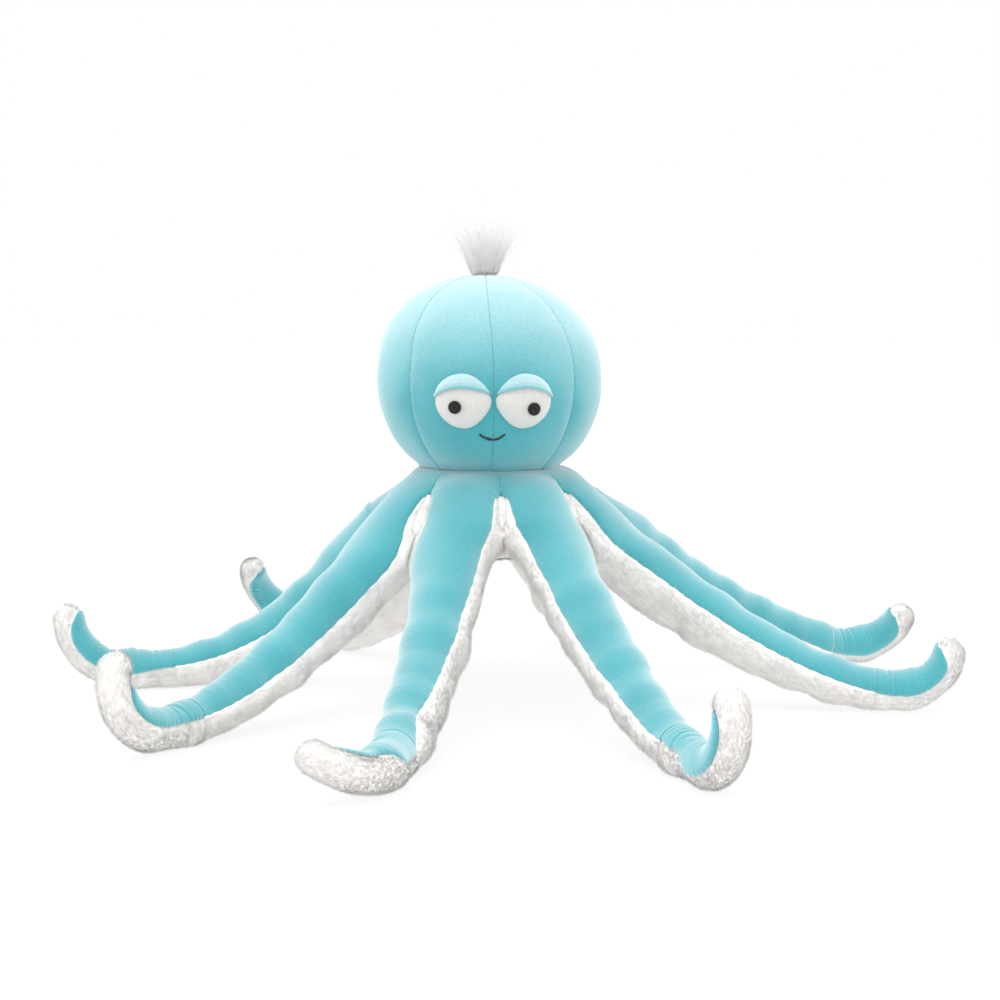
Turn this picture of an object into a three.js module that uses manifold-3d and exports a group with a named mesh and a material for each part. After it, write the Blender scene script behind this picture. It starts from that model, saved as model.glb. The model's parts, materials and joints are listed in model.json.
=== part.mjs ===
// A plush octopus: a stuffed head of eight gores on a small stuffed body, and eight long tentacles
// that carry it. Each tentacle has a velour panel on top and a white pile panel underneath, and its
// tip is gathered into a curl. Millimetres, +Z up. The octopus faces -Y. The origin is on the floor,
// under the middle of the whole toy.

import * as THREE from "three";
import { mergeVertices } from "three/addons/utils/BufferGeometryUtils.js";
import Module from "manifold-3d";

const wasm = await Module();
wasm.setup();

// Driving sizes.
const clothThickness = 2; // velour and pile backing, with the seam allowance behind them
const fitGap = 0.3; // between two pieces that touch
const runningGap = 0.35; // between a ball and its socket

const neckHeight = 173;
const headHeight = 143; // from the neck seam to the crown
const headRadius = 83;
const crownHoleRadius = 4.6; // where the gores meet round the tuft
const neckBallRadius = 30;
const neckCollarWidth = 10; // how far the cover reaches in under the neck seam

const hingeReach = 62; // from the middle of the body to the root of each tentacle
const hingeDepth = 35; // below the neck seam
const rootRadius = 22;
const tentacleReach = 272; // from the middle of the body to the fold where a tip starts
const curlRadius = 34;
const footLength = 16; // straight stretch between that fold and the curl
const footCutDepth = 0.5; // how deep each foot is pressed flat by the floor

const bodyRadius = 57;
const bodyWaistRadius = 42;
const bodyDepth = 67; // from the neck seam to the bottom of the stuffing
const basePanelThickness = 4;

const eyePadWidth = 41;
const eyePadHeight = 37;
const eyePadRise = 7;
const eyePadPointShare = 0.25; // how much lower a pad is at its pointed end
const eyeRise = 49.8; // from the neck seam to the middle of the pads
const eyeOutset = 22; // round the head, from the middle of the face to the middle of each pad
const lidThickness = 1.3;
const lidEdgeRise = 7.5; // lower edge of the lid above the middle of its pad
const pupilDiameter = 9;
const pupilDomeHeight = 3;
const domeShoulderShares = [0.75, 0.8]; // of the dome's radius and height
const pupilOutset = 5.5; // from the middle of its pad, outwards
const pupilDrop = 4.6; // and downwards
const stemDiameter = 3.2;
const stemLength = 13;
const washerDiameter = 9;
const washerThickness = 1.4;

const mouthRise = 26; // from the neck seam to its two ends
const mouthWidth = 18.4;
const mouthSag = 3;
const threadDiameter = 1.5;

const tuftHeight = 36;
const tuftSpread = 27; // radius at its widest
const tuftStemRadius = 3.6;

// Angles in degrees. Zero is the front, and positive turns towards +X.
const neckNod = 10; // each way
const tipSwing = 25; // each way
const bodyNeckDegrees = 17; // where the neck socket's rim lies, below level
const headTurn = 2.3; // the face looks a little to one side
const ringTurn = 7; // and the tentacle seams a little more
const lidTilt = 12;
const swingPower = 1.3; // how late along a tentacle its sideways swing comes
const rollPower = 3;
const wedgeSlack = 1;

// Shape tables, as shares of the sizes above.
const bodySides = 24;
const ballSides = 16;
const smallSides = 12;
const goreCount = 8;
const goreDivisions = 4;
const sectionHalfSides = 4;
const goreBulgeShares = [0.98, 0.997, 1, 0.997]; // from one seam to just before the next
const headProfileShares = [
  // radius as a share of headRadius, height above the neck as a share of headHeight
  [0.627, 0],
  [0.771, 0.077],
  [0.904, 0.196],
  [0.988, 0.343],
  [1, 0.49],
  [0.952, 0.65],
  [0.795, 0.811],
  [0.542, 0.937],
  [0.24, 0.993],
];
const armRadiusShares = [1, 1.11, 0.98, 0.82, 0.7]; // of rootRadius, at even steps to the fold
const tipEndShare = 0.75; // tip radius at its end, of its radius at the fold
const tipTopEndShare = 0.9; // how far along the tip its velour strip runs
const armStationShares = [0, 0.2, 0.4, 0.6, 0.8, 1];
const tipStationShares = [0, 0.25, 0.5, 0.75, 1];
const ballDegrees = [60, 30]; // rings of the balls that close the roots and the tips
const capDegrees = 80;
const tuftProfileShares = [
  // radius as a share of tuftSpread, height as a share of tuftHeight
  [0.13, 0.12],
  [0.36, 0.42],
  [0.88, 0.84],
  [1, 0.93],
  [0.55, 1],
];

// Each tentacle, going round from the front left one. The angles are degrees of sideways swing, of roll
// at the root, of lean at the fold and of turn in the curl. The rest are shares of the driving sizes.
const tentacleShares = [
  // name, swing, roll, lean, turn, steepness of the drop, reach, curl, foot
  ["front_left", 2, -25, -63, 88, 1.85, 0.959, 0.98, 1.65],
  ["front_right", -3.3, 25, 5, 122, 1.6, 1.0125, 0.78, 1.4],
  ["right_front", 3.8, 14, -11, 82, 1.6, 1.087, 0.97, 0.5],
  ["right_back", -8, 0, -35, 84, 1.3, 1.1515, 1.01, 0.5],
  ["back_right", -4, 0, 35, 95, 1.45, 0.973, 0.9, 0.6],
  ["back_left", 8, 0, 38, 128, 2, 0.8685, 1.3, 0.4],
  ["left_back", 11.6, 0, -8, 93, 1.9, 0.933, 1.3, 1.4],
  ["left_front", 10.4, 0, -15, 119, 1.8, 0.98, 0.92, 1.03],
];

const radians = THREE.MathUtils.degToRad;
const up = new THREE.Vector3(0, 0, 1);
const crownHeight = neckHeight + headHeight;
const hingeHeight = neckHeight - hingeDepth;
const bodyBottomHeight = neckHeight - bodyDepth;
const eyeHeight = neckHeight + eyeRise;
const mouthHeight = neckHeight + mouthRise;
const headCentre = new THREE.Vector3(0, 0, neckHeight + headHeight / 2);
const foldRadius = rootRadius * armRadiusShares.at(-1);
const flatShare = Math.cos(Math.PI / (2 * sectionHalfSides)); // of a section's radius, at its flats
const footHeight = foldRadius * flatShare - footCutDepth;

const velour = new THREE.MeshStandardMaterial({ color: 0x7cc8d2, roughness: 0.9, metalness: 0 });
const pile = new THREE.MeshStandardMaterial({ color: 0xf3f1ec, roughness: 1, metalness: 0 });
const felt = new THREE.MeshStandardMaterial({ color: 0xf6f5f2, roughness: 1, metalness: 0 });
const filling = new THREE.MeshStandardMaterial({ color: 0xe8e6df, roughness: 1, metalness: 0 });
const blackPlastic = new THREE.MeshStandardMaterial({ color: 0x15120f, roughness: 0.25, metalness: 0 });
const blackThread = new THREE.MeshStandardMaterial({ color: 0x1b1a19, roughness: 0.8, metalness: 0 });

// Geometry helpers.

function signedVolume(points, faces) {
  let total = 0;
  const cross = new THREE.Vector3();
  for (const [a, b, c] of faces) {
    total += points[a].dot(cross.crossVectors(points[b], points[c]));
  }
  return total;
}

// A closed BufferGeometry from points and triangles, turned to face out.
function closed(points, faces) {
  const outward = signedVolume(points, faces) > 0;
  const geometry = new THREE.BufferGeometry();
  geometry.setFromPoints(points);
  geometry.setIndex(faces.flatMap(([a, b, c]) => (outward ? [a, b, c] : [a, c, b])));
  geometry.computeVertexNormals();
  return geometry;
}

// The two triangles of a cell, always split along the same diagonal.
function cell(a, b, c, d) {
  return [
    [a, b, c],
    [a, c, d],
  ];
}

// A solid through rings of points, each end closed by a fan round the ring's middle.
function tube(rings) {
  const sides = rings[0].length;
  const points = rings.flat();
  const faces = [];
  for (let i = 0; i + 1 < rings.length; i += 1) {
    for (let j = 0; j < sides; j += 1) {
      const k = (j + 1) % sides;
      faces.push(...cell(i * sides + j, i * sides + k, (i + 1) * sides + k, (i + 1) * sides + j));
    }
  }
  for (const [start, isFirst] of [[0, true], [(rings.length - 1) * sides, false]]) {
    const middle = new THREE.Vector3();
    const ring = points.slice(start, start + sides);
    ring.forEach((point) => middle.addScaledVector(point, 1 / sides));
    const tip = points.length;
    points.push(middle);
    for (let j = 0; j < sides; j += 1) {
      const here = start + j;
      const next = start + ((j + 1) % sides);
      faces.push(isFirst ? [next, here, tip] : [here, next, tip]);
    }
  }
  return closed(points, faces);
}

// A sheet of cloth with a thickness, from matching rows of outer and inner points.
function sheet(outerRows, innerRows) {
  const rows = outerRows.length;
  const columns = outerRows[0].length;
  const points = [...outerRows.flat(), ...innerRows.flat()];
  const outer = (i, j) => i * columns + j;
  const inner = (i, j) => rows * columns + outer(i, j);
  const faces = [];
  for (let i = 0; i + 1 < rows; i += 1) {
    for (let j = 0; j + 1 < columns; j += 1) {
      faces.push(...cell(outer(i, j), outer(i, j + 1), outer(i + 1, j + 1), outer(i + 1, j)));
      const back = cell(inner(i, j), inner(i, j + 1), inner(i + 1, j + 1), inner(i + 1, j));
      faces.push(...back.map(([a, b, c]) => [a, c, b]));
    }
    faces.push(...cell(outer(i, 0), outer(i + 1, 0), inner(i + 1, 0), inner(i, 0)));
    const last = columns - 1;
    faces.push(...cell(outer(i, last), inner(i, last), inner(i + 1, last), outer(i + 1, last)));
  }
  for (let j = 0; j + 1 < columns; j += 1) {
    faces.push(...cell(outer(0, j), inner(0, j), inner(0, j + 1), outer(0, j + 1)));
    const end = rows - 1;
    faces.push(...cell(outer(end, j), outer(end, j + 1), inner(end, j + 1), inner(end, j)));
  }
  return closed(points, faces);
}

function toSolid(geometry) {
  const bare = geometry.clone();
  bare.deleteAttribute("normal");
  bare.deleteAttribute("uv");
  const merged = mergeVertices(bare);
  return new wasm.Manifold(new wasm.Mesh({
    numProp: 3,
    vertProperties: new Float32Array(merged.attributes.position.array),
    triVerts: new Uint32Array(merged.index.array),
  }));
}

function toGeometry(solid) {
  const mesh = solid.getMesh();
  const geometry = new THREE.BufferGeometry();
  geometry.setAttribute("position", new THREE.BufferAttribute(mesh.vertProperties, 3));
  geometry.setIndex(new THREE.BufferAttribute(mesh.triVerts, 1));
  geometry.computeVertexNormals();
  return geometry;
}

function cut(geometry, ...cutters) {
  return toGeometry(cutters.reduce((solid, cutter) => solid.subtract(toSolid(cutter)), toSolid(geometry)));
}

// Lathe profiles run up from the axis and back to it, and the axis becomes Z.
function turned(profile, segments) {
  const geometry = new THREE.LatheGeometry(profile.map(([r, z]) => new THREE.Vector2(r, z)), segments);
  return geometry.rotateX(Math.PI / 2);
}

// A ball to cut a socket with: its flats lie outside the radius that has to fit.
function socketBall(centre, radius, segments) {
  const least = radius / Math.cos(Math.PI / segments) ** 2;
  const geometry = new THREE.SphereGeometry(least, segments, segments / 2);
  return geometry.translate(centre.x, centre.y, centre.z);
}

const group = new THREE.Group();

function add(name, geometry, material) {
  const mesh = new THREE.Mesh(geometry, material);
  mesh.name = name;
  group.add(mesh);
  return mesh;
}

// The head. Its surface swells between the seams of the gores.

function headRing(radiusShare, heightShare, inset) {
  const shrink = 1 - inset / headRadius;
  const ring = [];
  for (let i = 0; i < goreCount * goreDivisions; i += 1) {
    const azimuth = radians(headTurn) + (2 * Math.PI * i) / (goreCount * goreDivisions);
    const radius = headRadius * radiusShare * goreBulgeShares[i % goreDivisions];
    const height = neckHeight + headHeight * heightShare;
    const point = new THREE.Vector3(radius * Math.sin(azimuth), -radius * Math.cos(azimuth), height);
    ring.push(point.sub(headCentre).multiplyScalar(shrink).add(headCentre));
  }
  return ring;
}

function headForm(inset) {
  return tube(headProfileShares.map(([r, h]) => headRing(r, h, inset)));
}

// Moves a point of a gore's edge sideways, away from the seam.
function awayFromSeam(point, distance) {
  const turn = distance / Math.hypot(point.x, point.y);
  return point.clone().applyAxisAngle(up, turn);
}

function goreRows(index, inset) {
  const crownShare = crownHoleRadius / headRadius;
  return [...headProfileShares, [crownShare, 1]].map(([r, h]) => {
    const ring = headRing(r, h, inset);
    const row = [];
    for (let j = 0; j <= goreDivisions; j += 1) {
      row.push(ring[(index * goreDivisions + j) % ring.length]);
    }
    row[0] = awayFromSeam(row[0], fitGap / 2);
    row[goreDivisions] = awayFromSeam(row[goreDivisions], -fitGap / 2);
    return row;
  });
}

const goreNames = [
  "gore_front_right", "gore_right_front", "gore_right_back", "gore_back_right",
  "gore_back_left", "gore_left_back", "gore_left_front", "gore_front_left",
];
const neckRadius = headRadius * headProfileShares[0][0];
const stuffingInset = clothThickness + fitGap;
const neckCentre = new THREE.Vector3(0, 0, neckHeight);

function arcPoints(radius, fromDegrees, toDegrees, steps) {
  const points = [];
  for (let i = 0; i <= steps; i += 1) {
    const angle = radians(fromDegrees + ((toDegrees - fromDegrees) * i) / steps);
    points.push([radius * Math.cos(angle), neckHeight + radius * Math.sin(angle)]);
  }
  return points;
}

// The stuffing fills the gores and ends in the ball that the neck turns on.
function headStuffing() {
  const ballTop = [0, neckHeight + neckBallRadius / 2];
  const ball = turned([...arcPoints(neckBallRadius, -90, 0, 4), ballTop], ballSides);
  return toGeometry(toSolid(headForm(stuffingInset)).add(toSolid(ball)));
}

// The eyes. Each frame stands square on the head with +Z outwards and +Y up.

function headBand(height) {
  const share = (height - neckHeight) / headHeight;
  const next = Math.max(1, headProfileShares.findIndex(([, h]) => h >= share));
  const [lowRadius, lowShare] = headProfileShares[next - 1];
  const [highRadius, highShare] = headProfileShares[next];
  const widening = headRadius * (highRadius - lowRadius);
  return {
    radius: headRadius * lowRadius + (widening * (share - lowShare)) / (highShare - lowShare),
    slope: widening / (headHeight * (highShare - lowShare)),
  };
}

function headSurfaceRadius(height) {
  return headBand(height).radius;
}

// How far the head swells at an angle from one of its seams, as a share of its radius there.
function goreBulge(angle) {
  const place = Math.abs(angle * goreCount * goreDivisions) / (2 * Math.PI);
  const low = Math.floor(place) % goreDivisions;
  const high = (low + 1) % goreDivisions;
  const mix = place - Math.floor(place);
  return goreBulgeShares[low] + (goreBulgeShares[high] - goreBulgeShares[low]) * mix;
}

function eyeFrame(side) {
  const azimuth = radians(headTurn) + (side * eyeOutset) / headRadius;
  const { radius, slope } = headBand(eyeHeight);
  const level = new THREE.Vector3(Math.sin(azimuth), -Math.cos(azimuth), 0);
  const outward = level.clone().addScaledVector(up, -slope).normalize();
  const across = new THREE.Vector3().crossVectors(up, level);
  const upright = new THREE.Vector3().crossVectors(outward, across);
  const matrix = new THREE.Matrix4().makeBasis(across, upright, outward);
  return matrix.setPosition(level.clone().multiplyScalar(radius).setZ(eyeHeight));
}

// An egg that narrows towards the nose, as each eye pad does.
function padForm(side, growth) {
  const geometry = new THREE.SphereGeometry(1, ballSides, ballSides / 2);
  const position = geometry.attributes.position;
  for (let i = 0; i < position.count; i += 1) {
    const inward = Math.max(0, -side * position.getX(i));
    position.setY(i, position.getY(i) * (1 - eyePadPointShare * inward ** 2));
  }
  return geometry.scale(eyePadWidth / 2 + growth, eyePadHeight / 2 + growth, eyePadRise + growth);
}

function placeInEye(geometry, side) {
  return geometry.applyMatrix4(eyeFrame(side));
}

// Turned along the stem: the washer that grips inside, the stem, the flange and the dome.
function safetyEye(side, growth) {
  const seat = eyePadRise - growth;
  const stemRadius = stemDiameter / 2 + growth;
  const washerRadius = washerDiameter / 2 + growth;
  const domeRadius = pupilDiameter / 2 + growth;
  const stemEnd = seat - stemLength;
  const washerTop = stemEnd + washerThickness + 2 * growth;
  const [shoulderRadius, shoulderHeight] = domeShoulderShares;
  const profile = [
    [0, stemEnd],
    [washerRadius, stemEnd],
    [washerRadius, washerTop],
    [stemRadius, washerTop],
    [stemRadius, seat],
    [domeRadius, seat],
    [domeRadius, seat + pupilDomeHeight / 3 + growth],
    [domeRadius * shoulderRadius, seat + pupilDomeHeight * shoulderHeight + growth],
    [0, seat + pupilDomeHeight + growth],
  ];
  const geometry = turned(profile, smallSides).translate(side * pupilOutset, -pupilDrop, 0);
  return placeInEye(geometry, side);
}

function eyePad(side, headClear) {
  return cut(placeInEye(padForm(side, 0), side), headClear, safetyEye(side, fitGap));
}

function eyeLid(side, headClear) {
  const lid = placeInEye(padForm(side, fitGap + lidThickness), side);
  const reach = eyePadWidth * 2;
  const below = new THREE.BoxGeometry(reach, reach, reach).translate(0, lidEdgeRise - reach / 2, 0);
  below.rotateZ(side * radians(-lidTilt));
  return cut(lid, placeInEye(padForm(side, fitGap), side), headClear, placeInEye(below, side));
}

function buildHead() {
  const holes = [safetyEye(-1, fitGap), safetyEye(1, fitGap)];
  add("head_stuffing", cut(headStuffing(), ...holes), filling);
  goreNames.forEach((name, index) => {
    const gore = sheet(goreRows(index, 0), goreRows(index, clothThickness));
    add(name, name.startsWith("gore_front") ? cut(gore, ...holes) : gore, velour);
  });
  const headClear = headForm(-fitGap);
  for (const [label, side] of [["left", -1], ["right", 1]]) {
    add(`eye_pad_${label}`, eyePad(side, headClear), felt);
    add(`eyelid_${label}`, eyeLid(side, headClear), velour);
    add(`safety_eye_${label}`, safetyEye(side, 0), blackPlastic);
  }
}

// One thick embroidered line that sags between its two ends and follows the head.
class MouthLine extends THREE.Curve {
  getPoint(share) {
    const offset = 2 * share - 1;
    const height = mouthHeight - mouthSag * (1 - offset ** 2);
    const clearance = threadDiameter / 2 + fitGap;
    const aside = (offset * mouthWidth) / (2 * headSurfaceRadius(height));
    const radius = headSurfaceRadius(height) * goreBulge(aside) + clearance;
    const azimuth = radians(headTurn) + aside;
    return new THREE.Vector3(radius * Math.sin(azimuth), -radius * Math.cos(azimuth), height);
  }
}

function buildMouth() {
  const section = new THREE.Shape();
  const sides = 6;
  for (let i = 0; i < sides; i += 1) {
    const angle = (2 * Math.PI * i) / sides;
    const x = (threadDiameter / 2) * Math.cos(angle);
    const y = (threadDiameter / 2) * Math.sin(angle);
    if (i === 0) section.moveTo(x, y);
    else section.lineTo(x, y);
  }
  section.closePath();
  const thread = new THREE.ExtrudeGeometry(section, { extrudePath: new MouthLine(), steps: 8 });
  add("mouth_thread", thread, blackThread);
}

function buildTuft() {
  const foot = crownHeight - stuffingInset + fitGap * 3;
  const crown = crownHeight + fitGap;
  const profile = [[0, foot], [tuftStemRadius, foot], [tuftStemRadius, crown]];
  tuftProfileShares.forEach(([r, h]) => profile.push([tuftSpread * r, crown + tuftHeight * h]));
  profile.push([0, crown + tuftHeight]);
  add("hair_tuft", turned(profile, smallSides), pile);
}

// The tentacles.

function smoothShares(shares, position) {
  const place = Math.min(position, 1) * (shares.length - 1);
  const low = Math.min(Math.floor(place), shares.length - 2);
  return shares[low] + (shares[low + 1] - shares[low]) * (place - low);
}

function describe([name, swing, roll, lean, turn, drop, reach, curl, foot], index) {
  return {
    name,
    azimuth: ringTurn - 180 / tentacleShares.length + (360 / tentacleShares.length) * index,
    swing,
    roll,
    lean,
    turn,
    drop,
    reach: tentacleReach * reach,
    curl: curlRadius * curl,
    foot: footLength * foot,
  };
}

function armPoint(tentacle, share) {
  const out = hingeReach + (tentacle.reach - hingeReach) * share;
  const azimuth = radians(tentacle.azimuth + tentacle.swing * share ** swingPower);
  const height = footHeight + (hingeHeight - footHeight) * (1 - share) ** tentacle.drop;
  return new THREE.Vector3(out * Math.sin(azimuth), -out * Math.cos(azimuth), height);
}

// Where a section stands and how it is turned: along the tentacle, and towards its top seam side.
function station(centre, along, top, radius) {
  return { centre, along, top, side: new THREE.Vector3().crossVectors(along, top), radius };
}

function turnedTop(along, roll) {
  const sideways = new THREE.Vector3().crossVectors(up, along).normalize();
  const upright = new THREE.Vector3().crossVectors(along, sideways);
  return upright.multiplyScalar(Math.cos(roll)).addScaledVector(sideways, Math.sin(roll));
}

function armStation(tentacle, share) {
  const step = 0.01;
  const from = Math.max(share - step, 0);
  const to = Math.min(share + step, 1);
  const along = armPoint(tentacle, to).sub(armPoint(tentacle, from)).normalize();
  if (share === 1) along.setZ(0).normalize();
  const roll = radians(tentacle.roll + (tentacle.lean - tentacle.roll) * share ** rollPower);
  const radius = rootRadius * smoothShares(armRadiusShares, share);
  return station(armPoint(tentacle, share), along, turnedTop(along, roll), radius);
}

function tipLength(tentacle) {
  return tentacle.foot + tentacle.curl * radians(tentacle.turn);
}

function tipStation(tentacle, share) {
  const fold = armStation(tentacle, 1);
  const travelled = tipLength(tentacle) * share;
  const angle = Math.max(0, (travelled - tentacle.foot) / tentacle.curl);
  const straight = Math.min(travelled, tentacle.foot);
  const centre = fold.centre.clone()
    .addScaledVector(fold.along, straight + tentacle.curl * Math.sin(angle))
    .addScaledVector(fold.top, tentacle.curl * (1 - Math.cos(angle)));
  const turn = new THREE.Quaternion().setFromAxisAngle(fold.side, angle);
  const along = fold.along.clone().applyQuaternion(turn);
  const top = fold.top.clone().applyQuaternion(turn);
  const radius = foldRadius * (1 + (tipEndShare - 1) * share);
  return station(centre, along, top, radius);
}

// A point of a section, with the angle measured from its side seam over the top.
function sectionPoint(place, angle, inset, behind = 0) {
  const radius = (place.radius - inset) * Math.cos(behind);
  return place.centre.clone()
    .addScaledVector(place.along, -(place.radius - inset) * Math.sin(behind))
    .addScaledVector(place.side, radius * Math.cos(angle))
    .addScaledVector(place.top, radius * Math.sin(angle));
}

function fullRing(place, inset, behind = 0) {
  const ring = [];
  for (let i = 0; i < 2 * sectionHalfSides; i += 1) {
    ring.push(sectionPoint(place, (Math.PI * i) / sectionHalfSides, inset, behind));
  }
  return ring;
}

// Half a ring, from side seam to side seam, over the top or underneath.
function halfRing(place, inset, isTop, behind = 0) {
  const seam = fitGap / 2 / place.radius;
  const start = isTop ? 0 : -Math.PI;
  const row = [];
  for (let i = 0; i <= sectionHalfSides; i += 1) {
    const edge = i === 0 ? seam : i === sectionHalfSides ? -seam : 0;
    row.push(sectionPoint(place, start + (Math.PI * i) / sectionHalfSides + edge, inset, behind));
  }
  return row;
}

// The rows of an arm: back round the ball of its root, then along to the rim that clears the fold.
function armRows(tentacle, makeRow) {
  const root = armStation(tentacle, 0);
  const setback = foldRadius * Math.sin(radians(tipSwing)) + clothThickness + 4 * fitGap;
  const lastShare = 1 - setback / (tentacle.reach - hingeReach);
  const rows = ballDegrees.map((degrees) => makeRow(root, radians(degrees)));
  armStationShares.forEach((share) => rows.push(makeRow(armStation(tentacle, share * lastShare), 0)));
  return rows;
}

function belowFloor() {
  const reach = tentacleReach * 4;
  return new THREE.BoxGeometry(reach, reach, reach).translate(0, 0, -reach / 2);
}

function buildArm(tentacle) {
  const fold = armStation(tentacle, 1);
  const socket = socketBall(fold.centre, fold.radius + runningGap, smallSides);
  const core = tube(armRows(tentacle, (place, behind) => fullRing(place, stuffingInset, behind)));
  add(`${tentacle.name}_arm_stuffing`, cut(core, socket), filling);
  for (const [label, isTop, material] of [["top", true, velour], ["under", false, pile]]) {
    const outer = armRows(tentacle, (place, behind) => halfRing(place, 0, isTop, behind));
    const inner = armRows(tentacle, (place, behind) => halfRing(place, clothThickness, isTop, behind));
    const skin = sheet(outer, inner);
    add(`${tentacle.name}_arm_${label}`, isTop ? skin : cut(skin, belowFloor()), material);
  }
}

// The underside panel of a tip with its stuffing: a ball in the fold, the curl, and a rounded end.
function tipUnderRings(tentacle) {
  const fold = tipStation(tentacle, 0);
  const end = tipStation(tentacle, 1);
  const rings = [capDegrees, ...ballDegrees].map((degrees) => fullRing(fold, 0, radians(degrees)));
  rings.push(fullRing(fold, 0));
  const stripped = (place) => {
    const ring = fullRing(place, 0);
    const low = fullRing(place, stuffingInset);
    for (let i = 0; i <= sectionHalfSides; i += 1) ring[i] = low[i];
    return ring;
  };
  tipStationShares.forEach((share) => rings.push(stripped(tipStation(tentacle, share * tipTopEndShare))));
  const shoulderShare = tipTopEndShare + fitGap / tipLength(tentacle);
  rings.push(stripped(tipStation(tentacle, shoulderShare)));
  rings.push(fullRing(tipStation(tentacle, shoulderShare + fitGap / tipLength(tentacle)), 0));
  rings.push(fullRing(end, 0));
  [...ballDegrees.toReversed(), capDegrees].forEach((degrees) => {
    rings.push(fullRing(end, 0, -radians(degrees)));
  });
  return rings;
}

function buildTip(tentacle) {
  add(`${tentacle.name}_tip_under`, cut(tube(tipUnderRings(tentacle)), belowFloor()), pile);
  const places = tipStationShares.map((share) => {
    const start = fitGap / tipLength(tentacle);
    return tipStation(tentacle, start + share * (tipTopEndShare - start));
  });
  const outer = places.map((place) => halfRing(place, 0, true));
  const inner = places.map((place) => halfRing(place, clothThickness, true));
  add(`${tentacle.name}_tip_top`, sheet(outer, inner), velour);
}

// The body: a waisted bag of stuffing with a socket for each root and one for the neck, the panels'
// inner ends joined into one cover round its shoulders, and a panel that closes it underneath.
function buildBody(tentacles) {
  const wedge = radians(neckNod + wedgeSlack);
  const shoulderAt = (radius) => neckHeight - radius * Math.tan(wedge);
  const socketRadius = (neckBallRadius + runningGap) / Math.cos(Math.PI / bodySides) ** 2;
  const coreRadius = bodyRadius - stuffingInset;
  const waistTop = hingeHeight - rootRadius / 2;
  const hem = hingeHeight - rootRadius / 4;
  const neckArc = arcPoints(socketRadius, -bodyNeckDegrees, -90, 3);
  const core = [
    [0, bodyBottomHeight],
    [bodyWaistRadius, bodyBottomHeight],
    [bodyWaistRadius, waistTop],
    [coreRadius, hem],
    [coreRadius, shoulderAt(coreRadius) - stuffingInset],
    ...neckArc,
  ];
  const sockets = tentacles.map((tentacle) => {
    const root = armStation(tentacle, 0);
    return socketBall(root.centre, root.radius + runningGap, ballSides);
  });
  add("body_stuffing", cut(turned(core, bodySides), ...sockets), filling);
  const collar = neckRadius - neckCollarWidth;
  const lining = bodyRadius - clothThickness;
  const cover = [
    [collar, shoulderAt(collar) - clothThickness],
    [lining, shoulderAt(lining) - clothThickness],
    [lining, hem],
    [bodyRadius, hem],
    [bodyRadius, shoulderAt(bodyRadius)],
    [collar, shoulderAt(collar)],
    [collar, shoulderAt(collar) - clothThickness],
  ];
  add("body_cover", cut(turned(cover, bodySides), ...sockets), velour);
  const panelTop = bodyBottomHeight - fitGap;
  const panel = [
    [0, panelTop - basePanelThickness],
    [bodyWaistRadius, panelTop - basePanelThickness],
    [bodyWaistRadius, panelTop],
    [0, panelTop],
  ];
  add("base_panel", turned(panel, bodySides), pile);
}

const tentacles = tentacleShares.map(describe);
buildBody(tentacles);
buildHead();
buildMouth();
buildTuft();
tentacles.forEach((tentacle) => {
  buildArm(tentacle);
  buildTip(tentacle);
});

const middle = new THREE.Box3().setFromObject(group).getCenter(new THREE.Vector3());
group.position.set(-middle.x, -middle.y, 0);

export default group;
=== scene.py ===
# A plush octopus in a white studio: aqua velour over white fur, felt eyes and a tuft of fine hair.
# Everything is built in metres round the middle of the toy's body, then moved to its place in the frame.

import json
import math
from types import SimpleNamespace

import bpy
import numpy as np
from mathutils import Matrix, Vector, kdtree


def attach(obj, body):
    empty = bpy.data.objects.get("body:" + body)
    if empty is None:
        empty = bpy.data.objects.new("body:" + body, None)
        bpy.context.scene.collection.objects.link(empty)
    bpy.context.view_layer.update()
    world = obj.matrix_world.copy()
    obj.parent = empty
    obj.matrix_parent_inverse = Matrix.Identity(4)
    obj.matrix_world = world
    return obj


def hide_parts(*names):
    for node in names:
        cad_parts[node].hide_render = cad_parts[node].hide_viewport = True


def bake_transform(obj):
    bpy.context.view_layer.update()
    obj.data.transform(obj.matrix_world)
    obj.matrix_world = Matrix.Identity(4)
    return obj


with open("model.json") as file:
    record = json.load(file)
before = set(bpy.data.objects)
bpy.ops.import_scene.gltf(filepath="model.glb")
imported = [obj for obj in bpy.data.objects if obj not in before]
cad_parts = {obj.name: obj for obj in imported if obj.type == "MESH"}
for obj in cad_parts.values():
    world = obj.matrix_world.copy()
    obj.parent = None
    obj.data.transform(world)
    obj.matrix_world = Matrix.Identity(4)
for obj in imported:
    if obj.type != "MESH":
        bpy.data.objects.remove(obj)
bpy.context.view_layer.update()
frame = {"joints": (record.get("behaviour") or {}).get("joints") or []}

mm = 0.001
up = np.array([0.0, 0.0, 1.0])
jointPlaces = {joint["name"]: np.array(joint["pos_m"]) for joint in frame["joints"]}
bodyMiddle = jointPlaces["neck_nod"] * [1, 1, 0]
neckHeight = jointPlaces["neck_nod"][2]
chance = np.random.default_rng(20)


# Sums of vectors and smooth curves

def unit(vectors):
    return vectors / np.maximum(np.linalg.norm(vectors, axis=-1, keepdims=True), 1e-12)


def ease(amount):
    amount = np.clip(amount, 0, 1)
    return amount * amount * (3 - 2 * amount)


def mix(first, second, share):
    return first + (second - first) * share


def hump(distance, width):  # 1 at no distance, falling away smoothly
    return np.exp(-((distance / width) ** 2))


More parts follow.
